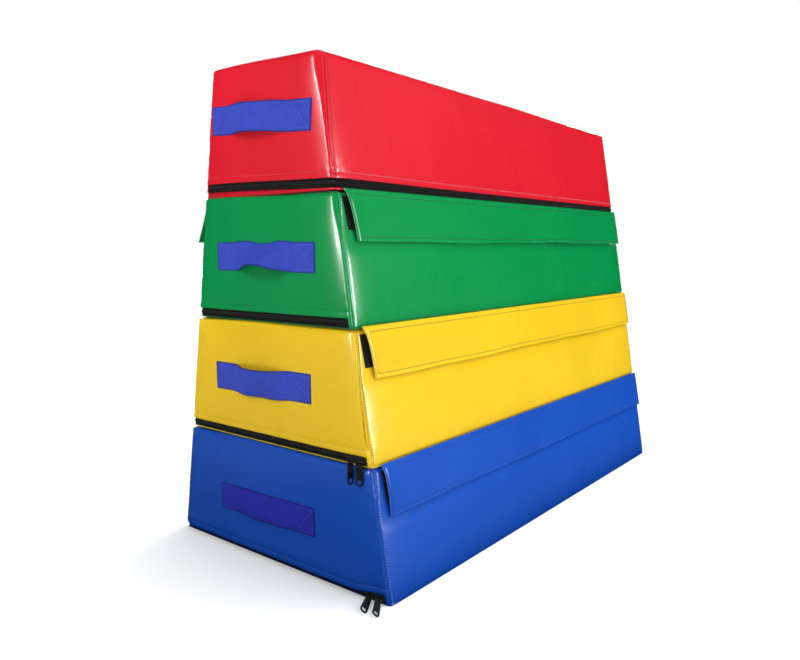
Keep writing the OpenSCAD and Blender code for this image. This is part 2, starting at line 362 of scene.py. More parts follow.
def stray(sec, q):
    """Slides points round the near corner, where the seam doesn't keep to the edge."""
    x, y, z = q[..., 0], q[..., 1], q[..., 2]
    from_end, from_side = HALF_L + x, sec.half + y
    inside = np.minimum(from_end, from_side)
    turn = from_end - from_side
    top, foot = STRAY[sec.name]
    slide = foot + (top - foot) * z / sec.rise
    slide = slide * smooth(z / 25 - 0.6) * bell(turn, STRAY_REACH)
    slide = slide * np.exp(-np.abs(inside) / STRAY_REACH)
    turn = turn + slide
    near = (x < 0) & (y < 0)
    return np.stack([np.where(near, inside + np.maximum(turn, 0) - HALF_L, x),
                     np.where(near, inside + np.maximum(-turn, 0) - sec.half, y), z], axis=-1)


def rise_at(sec, q):
    """How far the stack's lie lifts or lowers a point."""
    up = np.clip(q[..., 2] / sec.rise, 0, 1)
    total = np.zeros(q.shape[:-1])
    for end, side, foot, top, reach in RISES[sec.name]:
        away = np.hypot(q[..., 0] - end * HALF_L, q[..., 1] - side * sec.half)
        total += (foot + (top - foot) * up) * bell(away, reach)
    return total * smooth(q[..., 2] / 1.2)


def soften(sec, q):
    """Moves points of a straight box onto one with round edges. Gives them and the way out."""
    r = edge_radius(sec, q)
    core = np.stack([
        np.clip(q[..., 0], r - HALF_L, HALF_L - r),
        np.clip(q[..., 1], r - sec.half, sec.half - r),
        np.minimum(q[..., 2], sec.rise - r)], axis=-1)
    out = q - core
    away = unit(out)
    return core + away * np.abs(out).max(axis=-1, keepdims=True), away


def broad_relief(sec, q, away):
    """Swell and creases of the panels, and how the vinyl gives way beside a corner seam."""
    x, y, z = q[..., 0], q[..., 1], q[..., 2]
    across, along = (y / sec.half + 1) / 2, (x / HALF_L + 1) / 2
    up = z / sec.rise
    total = np.zeros_like(x)
    total += np.where(x < 0, read_field(sec.fields["end-"], across, up),
                      read_field(sec.fields["end+"], across, up)) * away[..., 0] ** 2
    side = np.where(y < 0, read_field(sec.fields["side-"], along, up),
                    read_field(sec.fields["side+"], along, up))
    if sec.name != "top":
        side = side - np.maximum(side + 0.3, 0) * smooth((z - sec.rise + PRESSED) / 30)
    total += side * away[..., 1] ** 2
    top = read_field(sec.fields["top"], along, across)
    top = np.maximum(top, -1.5) if sec.name == "top" else np.clip(top - 2.5, -0.8, 0)
    total += top * away[..., 2] ** 2
    near = (x < 0) & (y < 0)
    give = [np.where(near, n, o) for n, o in zip(CORNER_GIVE[sec.name], OTHER_GIVE)]
    from_end, from_side = HALF_L - np.abs(x), sec.half - np.abs(y)
    on_end = (give[1] + (give[0] - give[1]) * smooth(up)) * np.exp(-from_side / GIVE_REACH)
    on_side = (give[3] + (give[2] - give[3]) * smooth(up)) * np.exp(-from_end / GIVE_REACH)
    return total - on_end * away[..., 0] ** 2 - on_side * away[..., 1] ** 2


def seam_distance(sec, q):
    """Signed distance from the end seam: below 0 on the end panel, above 0 on the wrap."""
    inward = np.minimum(sec.half - np.abs(q[..., 1]), sec.rise - q[..., 2])
    return SEAM_IN + HALF_L - np.abs(q[..., 0]) - inward


def zip_above(sec, q, away):
    """1 where the vinyl under a point ends at the zip, 0 on the side that is sewn to the base."""
    return np.clip(away[..., 0] ** 2 + (q[..., 1] * sec.zip_side > 0) * away[..., 1] ** 2, 0, 1)


# Pitch of the puckers along the end seams, and of the gathers in the hem over the zip.
PUCKER_PITCH = 13.0
GATHER_PITCH = 15.0


def fine_relief(sec, q, away):
    """Seams, stitched lines and puckers."""
    s = seam_distance(sec, q)
    z = q[..., 2]
    run = np.where(sec.rise - z < sec.half - np.abs(q[..., 1]), q[..., 1], z)
    wander = 2.1 * np.sin(run / 31 + sec.index) + 1.3 * np.sin(run / 17.3)
    pucker = np.sin(2 * np.pi * run / PUCKER_PITCH + wander)
    flat = -1.2 * bell(s, 1.1) + 0.25 * bell(np.abs(s) - 3, 1.8)
    flat += -0.25 * bell(s - SEAM_IN - STITCH_IN, 1.2)
    flat += 0.32 * pucker * np.exp(-np.abs(s) / 7) * np.where(s > 0, 1, -0.7)
    hem = -0.5 * bell(z - HEM_STITCH, 1.4) + 0.5 * bell(z - WINDOW_TOP - 3, 4)
    gather = np.sin(2 * np.pi * (q[..., 0] + q[..., 1]) / GATHER_PITCH + wander)
    hem += 0.22 * gather * bell(z - HEM_STITCH, 9)
    hem += HANG_OUT[sec.name] * overhang(sec, q)
    foot = -0.8 * bell(z - WRAP_FOOT, 1.6)
    zipped = zip_above(sec, q, away)
    low = 1 - away[..., 2] ** 2
    return flat + low * (zipped * hem + (1 - zipped) * foot)


def overhang(sec, q):
    """1 where the end's vinyl hangs over the zip, 0 by its corners, where the sliders are."""
    along = q[..., 1] * sec.zip_side
    clear = smooth((sec.half + along - 22) / 45) * smooth((sec.half - along) / 20)
    clear = clear * (np.abs(q[..., 0]) > HALF_L - 1)
    return clear * bell(np.maximum(q[..., 2] - WINDOW_TOP - 6, 0), 24)


def lean_in(sec, p):
    """Narrows straight-box points with height, as the section's sides do."""
    share = half_width(sec.foot + p[..., 2]) / sec.half
    return np.stack([p[..., 0], p[..., 1] * share, p[..., 2] + sec.foot], axis=-1)


def skin(sec, q, lift=0.0, fine=True):
    """Points of the section's finished skin, and the way out there."""
    moved = stray(sec, q)
    p, away = soften(sec, moved)
    relief = broad_relief(sec, moved, away)
    if fine:
        relief = relief + fine_relief(sec, q, away)
    out = np.array(away)
    out[..., 2] += SLOPE * np.abs(away[..., 1])
    out = unit(out)
    p = lean_in(sec, p) + out * (relief + lift)[..., None]
    p[..., 2] += rise_at(sec, q)
    if fine:
        p[..., 2] -= HANG_DOWN[sec.name] * overhang(sec, q)
    return p, out


# ---------------------------------------------------------------- mesh making

def grid_quads(rows, cols, keep=None):
    """The quads of a grid of points numbered row by row."""
    i, j = np.meshgrid(np.arange(rows - 1), np.arange(cols - 1), indexing="ij")
    first = i * cols + j
    quads = np.stack([first, first + cols, first + cols + 1, first + 1], axis=-1)
    return quads.reshape(-1, 4) if keep is None else quads[keep]


def grid_normals(p):
    return unit(np.cross(np.gradient(p, axis=0), np.gradient(p, axis=1)))


class Shape:
    """Collects quads, each with a material number, and makes one object of them."""

    def __init__(self):
        self.points, self.quads, self.marks, self.runs, self.tones = [], [], [], [], []
        self.count = 0

    def add(self, points, quads, mark=0, run=None, tone=None):
        points = np.asarray(points, float).reshape(-1, 3)
        n = len(points)
        self.points.append(points)
        self.quads.append(np.asarray(quads) + self.count)
        self.marks.append(np.broadcast_to(mark, len(quads)))
        self.runs.append(np.zeros((n, 3)) if run is None else np.asarray(run, float).reshape(n, 3))
        self.tones.append(np.zeros(n) if tone is None else np.asarray(tone, float).reshape(n))
        self.count += n

    def shell(self, front, out, thick, run=None, tone=None, mark=0, rim=None):
        """A closed sheet: a grid of points, its copy thick further in, and the rim between."""
        rows, cols = front.shape[:2]
        n = rows * cols
        faces = grid_quads(rows, cols)
        index = np.arange(n).reshape(rows, cols)
        loop = np.concatenate([index[0, :-1], index[:-1, -1], index[-1, :0:-1], index[:0:-1, 0]])
        ahead = np.roll(loop, -1)
        edge = np.stack([loop, ahead, ahead + n, loop + n], axis=-1)
        points = np.concatenate([front.reshape(-1, 3), (front - out * thick).reshape(-1, 3)])
        quads = np.concatenate([faces, faces[:, ::-1] + n, edge])
        marks = np.full(len(quads), mark)
        marks[2 * len(faces):] = mark if rim is None else rim
        double = (lambda v: None if v is None else np.concatenate([v.reshape(n, -1)] * 2))
        self.add(points, quads, marks, double(run), double(tone))

    def build(self, name, materials, weld=None):
        mesh = bpy.data.meshes.new(name)
        points = np.concatenate(self.points) * MM
        quads = np.concatenate(self.quads)
        mesh.from_pydata(points.tolist(), [], quads.tolist())
        for material in materials:
            mesh.materials.append(material)
        mesh.polygons.foreach_set("material_index", np.concatenate(self.marks).astype(np.int32))
        mesh.polygons.foreach_set("use_smooth", np.ones(len(quads), bool))
        run = mesh.attributes.new("run", "FLOAT_VECTOR", "POINT")
        run.data.foreach_set("vector", np.concatenate(self.runs).astype(np.float32).ravel())
        tone = mesh.attributes.new("tone", "FLOAT", "POINT")
        tone.data.foreach_set("value", np.concatenate(self.tones).astype(np.float32))
        mesh.update()
        obj = bpy.data.objects.new(name, mesh)
        bpy.context.scene.collection.objects.link(obj)
        if weld:
            add_weld(obj, weld)
        return obj


def add_weld(obj, distance):
    weld = obj.modifiers.new("weld", "WELD")
    weld.merge_threshold = distance * MM


def thicken(obj, thick):
    """Gives a sewn sheet its thickness, inwards."""
    solid = obj.modifiers.new("thickness", "SOLIDIFY")
    solid.thickness = thick * MM
    solid.offset = -1
    solid.use_even_offset = True


def freeze(obj):
    """Applies the modifiers, so that the mesh is the finished shape."""
    shapes = bpy.context.evaluated_depsgraph_get()
    mesh = bpy.data.meshes.new_from_object(obj.evaluated_get(shapes), depsgraph=shapes)
    old = obj.data
    obj.modifiers.clear()
    obj.data = mesh
    mesh.name = obj.name
    bpy.data.meshes.remove(old)
    return obj


def finish_piece(obj, body, nodes):
    """Fixes a piece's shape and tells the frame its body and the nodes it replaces."""
    freeze(obj)
    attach(obj, body)
    if nodes:
        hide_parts(*nodes)
    return obj


def resample(path, pitch):
    """Points at even steps along a dense line, with whatever else is known of each point."""
    steps = np.linalg.norm(np.diff(path[:, :3], axis=0), axis=1)
    along = np.concatenate([[0], np.cumsum(steps)])
    count = max(2, int(round(along[-1] / pitch)) + 1)
    at = np.linspace(0, along[-1], count)
    return np.stack([np.interp(at, along, path[:, k]) for k in range(path.shape[1])], axis=-1)


# A stitch: the step from one to the next, its length, and half its width.
STITCH_PITCH = 4.2
STITCH_L = 3.3
STITCH_W = 0.42


def sew(shape, path, out, mark, pitch=STITCH_PITCH, size=1.0):
    """Lays a row of stitches, each a small sunk-ended grain of thread, along a line."""
    line = resample(np.concatenate([path, out], axis=1), pitch)
    middle, up = (line[1:, :3] + line[:-1, :3]) / 2, unit(line[1:, 3:] + line[:-1, 3:])
    along = unit(line[1:, :3] - line[:-1, :3])
    beside = np.cross(up, along)
    half, wide = STITCH_L / 2 * pitch / STITCH_PITCH, STITCH_W * size
    rings = []
    for place, girth, sink in ((-1, 0.45, 0.35), (0, 1, 0), (1, 0.45, 0.35)):
        centre = middle + along * (place * half) - up * (sink * wide)
        for side, rise in ((1, 0), (0, 1), (-1, 0), (0, -1)):
            rings.append(centre + (beside * side + up * rise) * (girth * wide))
    points = np.stack(rings, axis=1)
    quads = [[r * 4 + k, r * 4 + (k + 1) % 4, r * 4 + 4 + (k + 1) % 4, r * 4 + 4 + k]
             for r in range(2) for k in range(4)] + [[3, 2, 1, 0], [8, 9, 10, 11]]
    first = np.arange(len(middle))[:, None, None] * 12
    shape.add(points, (first + np.array(quads)).reshape(-1, 4), mark)


def sew_on_skin(shape, sec, q, mark=1, pitch=STITCH_PITCH):
    p, out = skin(sec, q, lift=0.25)
    sew(shape, p, out, mark, pitch)


# ---------------------------------------------------------------- covers

# Mesh lines in from an edge, and up from a section's foot past the zip.
NEAR_LINES = np.array([0, 1.1, 2.3, 3.7, 5.3, 6.9, 8.5, 10.5, 13, 16.5, 21, 27])
LOW_LINES = np.array([WRAP_FOOT, 2.6, 4.3, 6.5, 9, 12, WINDOW_TOP, 16.2, 18, 20.2, 22.2, 23.4,
                      HEM_STITCH, 24.7, 26, 29, 33])


def lines_between(start, end, pitch):
    return np.linspace(start, end, max(2, int(round((end - start) / pitch)) + 1))


def across_lines(half, pitch):
    """Places from -half to half, close together near both ends."""
    middle = lines_between(-half + NEAR_LINES[-1], half - NEAR_LINES[-1], pitch)
    return np.concatenate([-half + NEAR_LINES[:-1], middle, (half - NEAR_LINES[:-1])[::-1]])


def height_lines(sec):
    middle = lines_between(LOW_LINES[-1], sec.rise - NEAR_LINES[-1], 4.4)
    return np.concatenate([LOW_LINES[:-1], middle, (sec.rise - NEAR_LINES[:-1])[::-1]])


def wear(sec, q):
    """Tone of the vinyl: above 0 on a band beside each end seam, rubbed wear and painted highlight;
    below 0, painted shade in the seam's groove and towards the wrap's foot.
    """
    s = seam_distance(sec, q)
    # A paler band beside each end seam: rubbed wear and a painted highlight.
    rubbed_and_lit = 0.1 * bell(np.abs(s) - 3, 2.5)
    # Darker in the seam's groove and towards the wrap's foot: painted shade.
    painted_shade = 1.2 * bell(s, 1.0) + 0.25 * np.exp(-(q[..., 2] - WRAP_FOOT) / 9)
    return rubbed_and_lit - painted_shade


def wrap_cover(sec, materials):
    """The wrap: one long side, the top and the other long side, with a narrow turn on the ends."""
    z = height_lines(sec)
    y = across_lines(sec.half, 12)
    rows = np.concatenate([
        np.stack([np.full(len(z), sec.half), z], axis=-1),
        np.stack([y[::-1][1:-1], np.full(len(y) - 2, sec.rise)], axis=-1),
        np.stack([np.full(len(z), -sec.half), z[::-1]], axis=-1)])
    x = across_lines(HALF_L, 12)
    turn = np.array([SEAM_IN, SEAM_IN * 0.5])
    cols_x = np.concatenate([np.full(2, -HALF_L), x, np.full(2, HALF_L)])
    inset = np.concatenate([turn, np.zeros(len(x)), turn[::-1]])
    shrink_y, shrink_z = 1 - inset / sec.half, 1 - inset / sec.rise
    q = np.stack([
        np.broadcast_to(cols_x, (len(rows), len(cols_x))),
        rows[:, :1] * shrink_y, rows[:, 1:] * shrink_z], axis=-1)
    low = np.maximum(q[:-1, :-1, 2], q[1:, 1:, 2]) < WINDOW_TOP + 0.01
    zipped = rows[:-1, :1] * sec.zip_side > 0
    p, _ = skin(sec, q)
    shape = Shape()
    shape.add(p, grid_quads(*q.shape[:2], keep=~(low & zipped)), tone=wear(sec, q))
    sew_wrap(shape, sec)
    return shape.build(f"{sec.name}_wrap", materials)


def sew_wrap(shape, sec):
    """The topstitched lines beside the end seams and above the zip."""
    x_in = HALF_L - STITCH_IN
    z = lines_between(WRAP_FOOT, sec.rise, 2)
    y = lines_between(-sec.half, sec.half, 2)
    for end in (-1, 1):
        for side in (-1, 1):
            first = WINDOW_TOP if side == sec.zip_side else WRAP_FOOT
            up = z[z > first + 1]
            sew_on_skin(shape, sec, line_q(end * x_in, side * sec.half, up))
        sew_on_skin(shape, sec, line_q(end * x_in, y, sec.rise))
    along = lines_between(-HALF_L, HALF_L, 4)
    sew_on_skin(shape, sec, line_q(along, sec.zip_side * sec.half, HEM_STITCH), mark=2)


def line_q(x, y, z):
    """Straight-box points from numbers and one list of places."""
    return np.stack([np.asarray(v, float) for v in np.broadcast_arrays(x, y, z)], axis=-1)


def end_panels(sec, materials):
    """The two end panels, which stop at the zip except beside the corner where it ends."""
    z = height_lines(sec) * (1 - SEAM_IN / sec.rise)
    y = across_lines(sec.half, 9) * (1 - SEAM_IN / sec.half)
    corner = -sec.zip_side * (sec.half - ZIP_END)
    y[np.argmin(np.abs(y - corner))] = corner
    shape = Shape()
    for end in (-1, 1):
        q = line_q(end * HALF_L, y[None, :], z[:, None])
        low = q[1:, 1:, 2] < WINDOW_TOP + 0.01
        over_zip = (q[1:, 1:, 1] + q[:-1, :-1, 1]) / 2 * -sec.zip_side < sec.half - ZIP_END
        quads = grid_quads(*q.shape[:2], keep=~(low & over_zip))
        p, _ = skin(sec, q)
        shape.add(p, quads[:, ::-1] if end < 0 else quads, tone=wear(sec, q))
        across = lines_between(-sec.half + ZIP_END, sec.half - ZIP_END, 4)
        sew_on_skin(shape, sec, line_q(end * HALF_L, across, HEM_STITCH), mark=2)
    return shape.build(f"{sec.name}_ends", materials)


def panel_lines(half):
    """Mesh lines of the base panel, three at each edge for its lip."""
    inner = np.array([3, 10])
    middle = lines_between(-half + 25, half - 25, 30)
    return np.concatenate([[-half] * 3, -half + inner, middle, (half - inner)[::-1], [half] * 3])


def lip_heights(lip, count):
    """Heights of a row of points that turns up at both ends."""
    return np.concatenate([[lip, lip / 2, 0], np.zeros(count - 6), [0, lip / 2, lip]])


def base_panel(sec, vinyl):
    """The panel under the foam and its turned-up lip."""
    x, y = panel_lines(HALF_L), panel_lines(sec.half)
    lip = LIPS[sec.name]
    up = np.maximum(lip_heights(lip, len(x))[:, None], lip_heights(lip, len(y))[None, :])
    q = np.stack([*np.meshgrid(x, y, indexing="ij"), up], axis=-1)
    p, away = soften(sec, q)
    high = rise_at(sec, q) * up / lip
    inset = 0.6 * (1 - smooth(up / lip * 2)) + 0.1 * np.maximum(high, 0)
    rim = (HALF_L - np.abs(q[..., 0]) < 0.01) | (sec.half - np.abs(q[..., 1]) < 0.01)
    p = lean_in(sec, p - away * (inset * rim)[..., None])
    p[..., 2] += high - panel_sag(sec, q)
    i, j = np.meshgrid(range(len(x) - 1), range(len(y) - 1), indexing="ij")
    outer = (np.minimum(i, len(x) - 2 - i) < 2) & (np.minimum(j, len(y) - 2 - j) < 2)
    shape = Shape()
    quads = grid_quads(len(x), len(y), keep=~outer)
    # The lip's tone paints shade on most lips and light on the lower section's.
    shape.add(p, quads[:, ::-1], tone=LIP_TONE[sec.name] * rim)
    return shape.build(f"{sec.name}_base", [vinyl], weld=0.02)


def panel_sag(sec, q):
    """How far the base panel droops where the edge below it is round. It can't on the floor."""
    if sec.name == "base":
        return np.zeros(q.shape[:2])
    edge = np.minimum(HALF_L - np.abs(q[..., 0]), sec.half - np.abs(q[..., 1]))
    return 0.8 * np.exp(-edge / 2.5)


# The foam's place inside the skin, and the notch behind the zip.
FOAM_IN = 2.6
NOTCH_IN = 5.5
NOTCH_TOP = 24.0
FOAM_EDGE = np.array([0, 2, 5, 9])


def foam_lines(half):
    """Mesh lines of the foam block from -half to half."""
    middle = lines_between(-half + 20, half - 20, 40)
    return np.concatenate([-half + FOAM_EDGE, middle, (half - FOAM_EDGE)[::-1]])


def foam_core(sec, material):
    """The foam block inside, cut back along the zip."""
    z = np.concatenate([[0, 8, 16, NOTCH_TOP - 0.2, NOTCH_TOP + 0.2],
                        lines_between(34, sec.rise - 14, 22), (sec.rise - FOAM_EDGE)[::-1]])
    x, y = foam_lines(HALF_L), foam_lines(sec.half)
    shape = Shape()

    def face(q, flip):
        p, away = soften(sec, q)
        depth = FOAM_IN + NOTCH_IN * (q[..., 2] < NOTCH_TOP) * zip_above(sec, q, away)
        p = lean_in(sec, p - away * depth[..., None])
        p[..., 2] += np.minimum(rise_at(sec, q), 0)
        p[..., 2] = np.maximum(p[..., 2], sec.foot + COVER_T + 0.8)
        quads = grid_quads(*q.shape[:2])
        shape.add(p, quads[:, ::-1] if flip else quads)

    for sign in (-1, 1):
        face(line_q(sign * HALF_L, y[None, :], z[:, None]), sign > 0)
        face(line_q(x[None, :], sign * sec.half, z[:, None]), sign < 0)
    face(line_q(x[:, None], y[None, :], sec.rise), False)
    face(line_q(x[:, None], y[None, :], 0.0), True)
    return shape.build(f"{sec.name}_foam", [material], weld=0.05)


# ---------------------------------------------------------------- zips

# The zip's tape, then its coil: the gap between the two strands, their height and their teeth.
TAPE_T = 1.0
TAPE_TOP = 18.5
TAPE_STEP = 10
LINE_STEP = 0.5
ZIP_GAP = 0.3
COIL_H = 2.4
TOOTH_PITCH = 2.1
TOOTH_L = 1.45
TOOTH_HALF_T = 0.55
TOOTH_DEPTH = -0.75


def zip_line(sec, z, out):
    """Close points along the zip's U, with their outward, upward and forward directions."""
    start = -sec.zip_side * (sec.half - ZIP_END)
    turn = sec.zip_side * sec.half
    knots = np.array([(-HALF_L, start), (-HALF_L, turn), (HALF_L, turn), (HALF_L, start)])
    dense = resample(knots, LINE_STEP)
    p, away = skin(sec, line_q(dense[:, 0], dense[:, 1], z), lift=out, fine=False)
    above, _ = skin(sec, line_q(dense[:, 0], dense[:, 1], z + 1.0), lift=out, fine=False)
    return p, away, unit(above - p), unit(np.gradient(p, axis=0))


def zip_tape(sec, material):
    """The woven tapes, above and below the coil."""
    shape = Shape()
    foot = LIPS[sec.name] - 0.3
    for low, high in ((foot, ZIP_LINE - ZIP_GAP / 2), (ZIP_LINE + ZIP_GAP / 2, TAPE_TOP)):
        levels = lines_between(low, high, 2.2)
        rows = [zip_line(sec, z, -COVER_T) for z in levels]
        p, out = (np.stack([r[k][::TAPE_STEP] for r in rows], axis=1) for k in (0, 1))
        along = np.arange(len(p))[:, None] * (TAPE_STEP * LINE_STEP)
        run = np.stack(np.broadcast_arrays(along, levels[None, :], 0.0), axis=-1)
        shape.shell(p, out, TAPE_T, run=run)
    return shape.build(f"{sec.name}_tape", [material])


def zip_coil(sec, material):
    """Two strands of coil, tooth by tooth."""
    shape = Shape()
    corners = np.array([(a, b, c) for a in (-1, 1) for b in (-1, 1) for c in (-1, 1)], float)
    quads = np.array([[0, 1, 3, 2], [4, 6, 7, 5], [0, 4, 5, 1],
                      [2, 3, 7, 6], [0, 2, 6, 4], [1, 5, 7, 3]])
    for strand in (-1, 1):
        z = ZIP_LINE + strand * (ZIP_GAP / 2 + COIL_H / 2 - 0.1)
        line = resample(np.concatenate(zip_line(sec, z, TOOTH_DEPTH), axis=1), TOOTH_PITCH)
        out, up, forward = (unit(line[:, k:k + 3]) for k in (3, 6, 9))
        p = line[:, :3] + forward * (TOOTH_PITCH / 4 * strand)
        narrow = np.where(corners[:, 2] > 0, 0.62, 1.0)
        long = corners[:, 0] * TOOTH_L / 2 * narrow
        tall = corners[:, 1] * (COIL_H / 2 + 0.1) * (0.7 + 0.3 * narrow)
        deep = corners[:, 2] * TOOTH_HALF_T
        points = (p[:, None] + forward[:, None] * long[:, None]
                  + up[:, None] * tall[:, None] + out[:, None] * deep[:, None])
        first = np.arange(len(p))[:, None, None] * 8
        shape.add(points, (first + quads).reshape(-1, 4))
    return shape.build(f"{sec.name}_coil", [material])


# ---------------------------------------------------------------- handles

# The webbing, the length of each sewn-down end, and the margin of its stitched box.
STRAP_T = 1.8
STRAP_L = 232.0
STRAP_W = 47.0
STRAP_PATCH = 45.0
BOX_IN = 5.0
STRAP_LINES = STRAP_W / 2 * np.array(
    [-1, -0.97, -0.88, -0.7, -0.48, -0.24, 0, 0.24, 0.48, 0.7, 0.88, 0.97, 1])

# For each section, near end then far end: height of the loop, share of the way along at which it
# is highest, how many degrees its middle is twisted, tilt across its length, the ripple of its
# middle, and how far the middle rises. All in mm but the share and the twist.
STRAP_LIE = {
    "base": ((3, 0.42, 4, -4, 1.0, 0), (15, 0.55, 10, 3, 2.0, -2)),
    "lower": ((14, 0.45, -14, -1, 4.5, -3), (12, 0.60, 14, 2, 2.5, -2)),
    "upper": ((13, 0.45, 46, 2, 2.5, 5), (19, 0.45, -12, -3, 3.0, 1)),
    "top": ((13, 0.40, 10, 16, 2.5, 2), (16, 0.65, 12, 6, 2.0, -2)),
}


class Strap:
    """One webbing handle: where each point of it is, by its place along and across."""

    def __init__(self, sec, end):
        low, high = box_mm(f"{sec.name}_handles")
        self.sec, self.end = sec, end
        self.mid_y, self.mid_z = (low[1] + high[1]) / 2, (low[2] + high[2]) / 2
        lie = STRAP_LIE[sec.name][0 if end < 0 else 1]
        self.loop, self.peak, self.twist, self.tilt, self.ripple, self.sag = lie

    def at(self, u, v, lift=0.0):
        """Point and outward direction at u along (0 to STRAP_L) and v across the webbing."""
        free = (u - STRAP_PATCH) / (STRAP_L - 2 * STRAP_PATCH)
        rise = smooth(free / self.peak)
        fall = smooth((1 - free) / (1 - self.peak))
        loop = np.minimum(rise, fall)
        slack = np.sin(np.pi * np.clip(free, 0, 1))
        angle = math.radians(self.twist) * slack**2
        off = self.loop * loop - v * np.sin(angle)
        off = off + self.ripple * np.sin(3 * np.pi * np.clip(free, 0, 1)) * slack
        y = self.mid_y + STRAP_L / 2 - u
        z = self.mid_z + v * np.cos(angle) + self.tilt * (0.5 - u / STRAP_L) + self.sag * slack
        share = half_width(z) / self.sec.half
        q = line_q(self.end * HALF_L, y / share, z - self.sec.foot)
        p, out = skin(self.sec, q, fine=False)
        p[..., 2] -= rise_at(self.sec, q)
        p[..., 0] += self.end * (np.maximum(off, 0) + STRAP_T + lift)
        return p, out


def handles(sec, webbing, thread):
    """The two webbing handles, with their stitching."""
    shape = Shape()
    u = np.concatenate([lines_between(0, STRAP_PATCH, 7)[:-1],
                        lines_between(STRAP_PATCH, STRAP_L - STRAP_PATCH, 3.5),
                        lines_between(STRAP_L - STRAP_PATCH, STRAP_L, 7)[1:]])
    for end in (-1, 1):
        strap = Strap(sec, end)
        grid_u, grid_v = np.meshgrid(u, STRAP_LINES, indexing="ij")
        p, _ = strap.at(grid_u, grid_v)
        out = grid_normals(p)
        out *= np.sign(out[..., :1].mean() * end)
        bulge = -0.5 * (2 * np.abs(grid_v) / STRAP_W) ** 8
        run = np.stack([grid_u, grid_v, np.zeros_like(grid_u)], axis=-1)
        front = p + out * bulge[..., None]
        order = row_order(end > 0)
        shape.shell(front[order], out[order], STRAP_T - 0.1, run=run[order])
        sew_patches(shape, strap)
    return shape.build(f"{sec.name}_webbing", [webbing, thread])


def sew_patches(shape, strap):
    """A stitched box with a cross in it on each sewn-down end of the strap."""
    for start in (0, STRAP_L - STRAP_PATCH):
        u0, u1 = start + BOX_IN, start + STRAP_PATCH - BOX_IN
        v1 = STRAP_W / 2 - BOX_IN
        box = [(u0, -v1), (u1, -v1), (u1, v1), (u0, v1), (u0, -v1)]
        for knots in (box, [(u0, -v1), (u1, v1)], [(u0, v1), (u1, -v1)]):
            line = resample(np.array(knots, float), 1.0)
            p, out = strap.at(line[:, 0], line[:, 1], lift=0.15)
            sew(shape, p, out, mark=1, pitch=3.4)


# ---------------------------------------------------------------- flaps and their tapes

# A flap's vinyl, its drop, how far out it hangs and how far up its seam is.
FLAP_T = 1.1
FLAP_DROP = 78.0
FLAP_OUT = 3.55
HINGE_UP = 1.0
FLAP_STEP = 8.0

# Its stitched lines, down from the seam and up from the free edge, and in from both ends.
FLAP_LINES = (8.0, 6.5)
FLAP_LINE_IN = 7
DIMPLE = 0.22

# Mesh lines down a flap.
FLAP_ROWS = np.array([0, 2, 5, 7, 8, 9, 12, 18, 26, 34, 42, 50, 58, 65, 69, 71, 72.5, 75, 77, 78.0])

# The bulge over the near end's seam, on the long side that is in view.
SHOULDER = 5.0
SHOULDER_REACH = 70.0

# Hook and loop tape, and where each starts: down the flap, and down from the joint.
GRIP_W = 50.0
GRIP_T = 1.2
HOOK_START = 20.0
LOOP_START = 9.0

# Where each flap bows away from the tape under it: place along X, half length, and how far.
FLAP_WAVES = {
    ("top", -1): ((190, 150, 3.4), (-230, 90, 1.0), (420, 60, 1.4)),
    ("upper", -1): ((-120, 130, 1.6), (250, 160, 2.0), (-400, 50, 0.8)),
    ("lower", -1): ((-300, 120, 1.4), (60, 180, 1.8), (380, 90, 1.5)),
    ("top", 1): ((-505, 110, 17.0), (-160, 120, 1.5), (240, 130, 2.2)),
    ("upper", 1): ((-340, 110, 1.6), (80, 150, 2.0), (430, 70, 1.6)),
    ("lower", 1): ((-420, 80, 1.2), (-60, 160, 2.0), (300, 120, 1.6)),
}
# How far the near end of each flap is cut back, at its seam and at its free edge.
FLAP_CUT = {
    ("top", -1): (-1, 15), ("upper", -1): (-1, 14), ("lower", -1): (0, 8),
    ("top", 1): (-8, -10), ("upper", 1): (2, 8), ("lower", 1): (3, 9),
}
LOOP_CUT = {"upper": (-1, 4), "lower": (-1, 4), "base": (8, 12)}


def side_word(side):
    return "left" if side > 0 else "right"


def row_order(turned):
    """Turns a grid's rows round where its faces would look inwards."""
    return slice(None, None, -1) if turned else slice(None)


class Flap:
    """A hanging flap: where each point of it is, by its place along and down."""

    def __init__(self, sec, side):
        low, high = box_mm(f"{sec.name}_flap_{side_word(side)}")
        self.sec, self.side = sec, side
        self.x0, self.x1 = low[0], high[0]
        rng = np.random.default_rng(90 + 2 * sec.index + (side > 0))
        self.waves = FLAP_WAVES[sec.name, side]
        self.cut = FLAP_CUT[sec.name, side]
        self.phase = rng.uniform(0, 6, 3)

    def bow(self, x, down):
        """How far the flap stands off its flat place."""
        share = np.clip(down / FLAP_DROP, 0, 1)
        total = sum(h * bell(x - at, w) for at, w, h in self.waves) * share**1.4
        ripple = 0.35 * np.sin(x / 47 + self.phase[0]) + 0.25 * np.sin(x / 23 + self.phase[1])
        near_end = SHOULDER if self.side < 0 else 0.0
        shoulder = near_end * np.exp(-np.maximum(x - self.x0, 0) / SHOULDER_REACH) + 0.8
        return total + (0.6 + ripple) * share**2 + shoulder * np.sin(np.pi * share**0.6)

    def hem(self, x, down):
        """How much further down a point is where the drop is cut longer or shorter."""
        longer = 0.8 * np.sin(x / 90 + self.phase[2]) + 0.5 * np.sin(x / 37)
        return longer * smooth((down - 40) / 38)

    def at(self, x, down, out=0.0):
        """Point and outward direction at x and a distance down from the seam."""
        off = FLAP_OUT + self.bow(x, down) + out
        up = HINGE_UP - down
        p = slope_point(self.sec.foot, self.side, x, off, up)
        way = np.zeros_like(p)
        way[..., 1] = self.side * math.cos(LEAN)
        way[..., 2] = math.sin(LEAN)
        return p, way


def slope_point(foot, side, x, out, up):
    """A point on the sloping side, out of its face and up it from a section's foot."""
    y = half_width(foot) + out * math.cos(LEAN) - up * math.sin(LEAN)
    z = foot + out * math.sin(LEAN) + up * math.cos(LEAN)
    return np.stack(np.broadcast_arrays(x, side * y, z), axis=-1).astype(float)


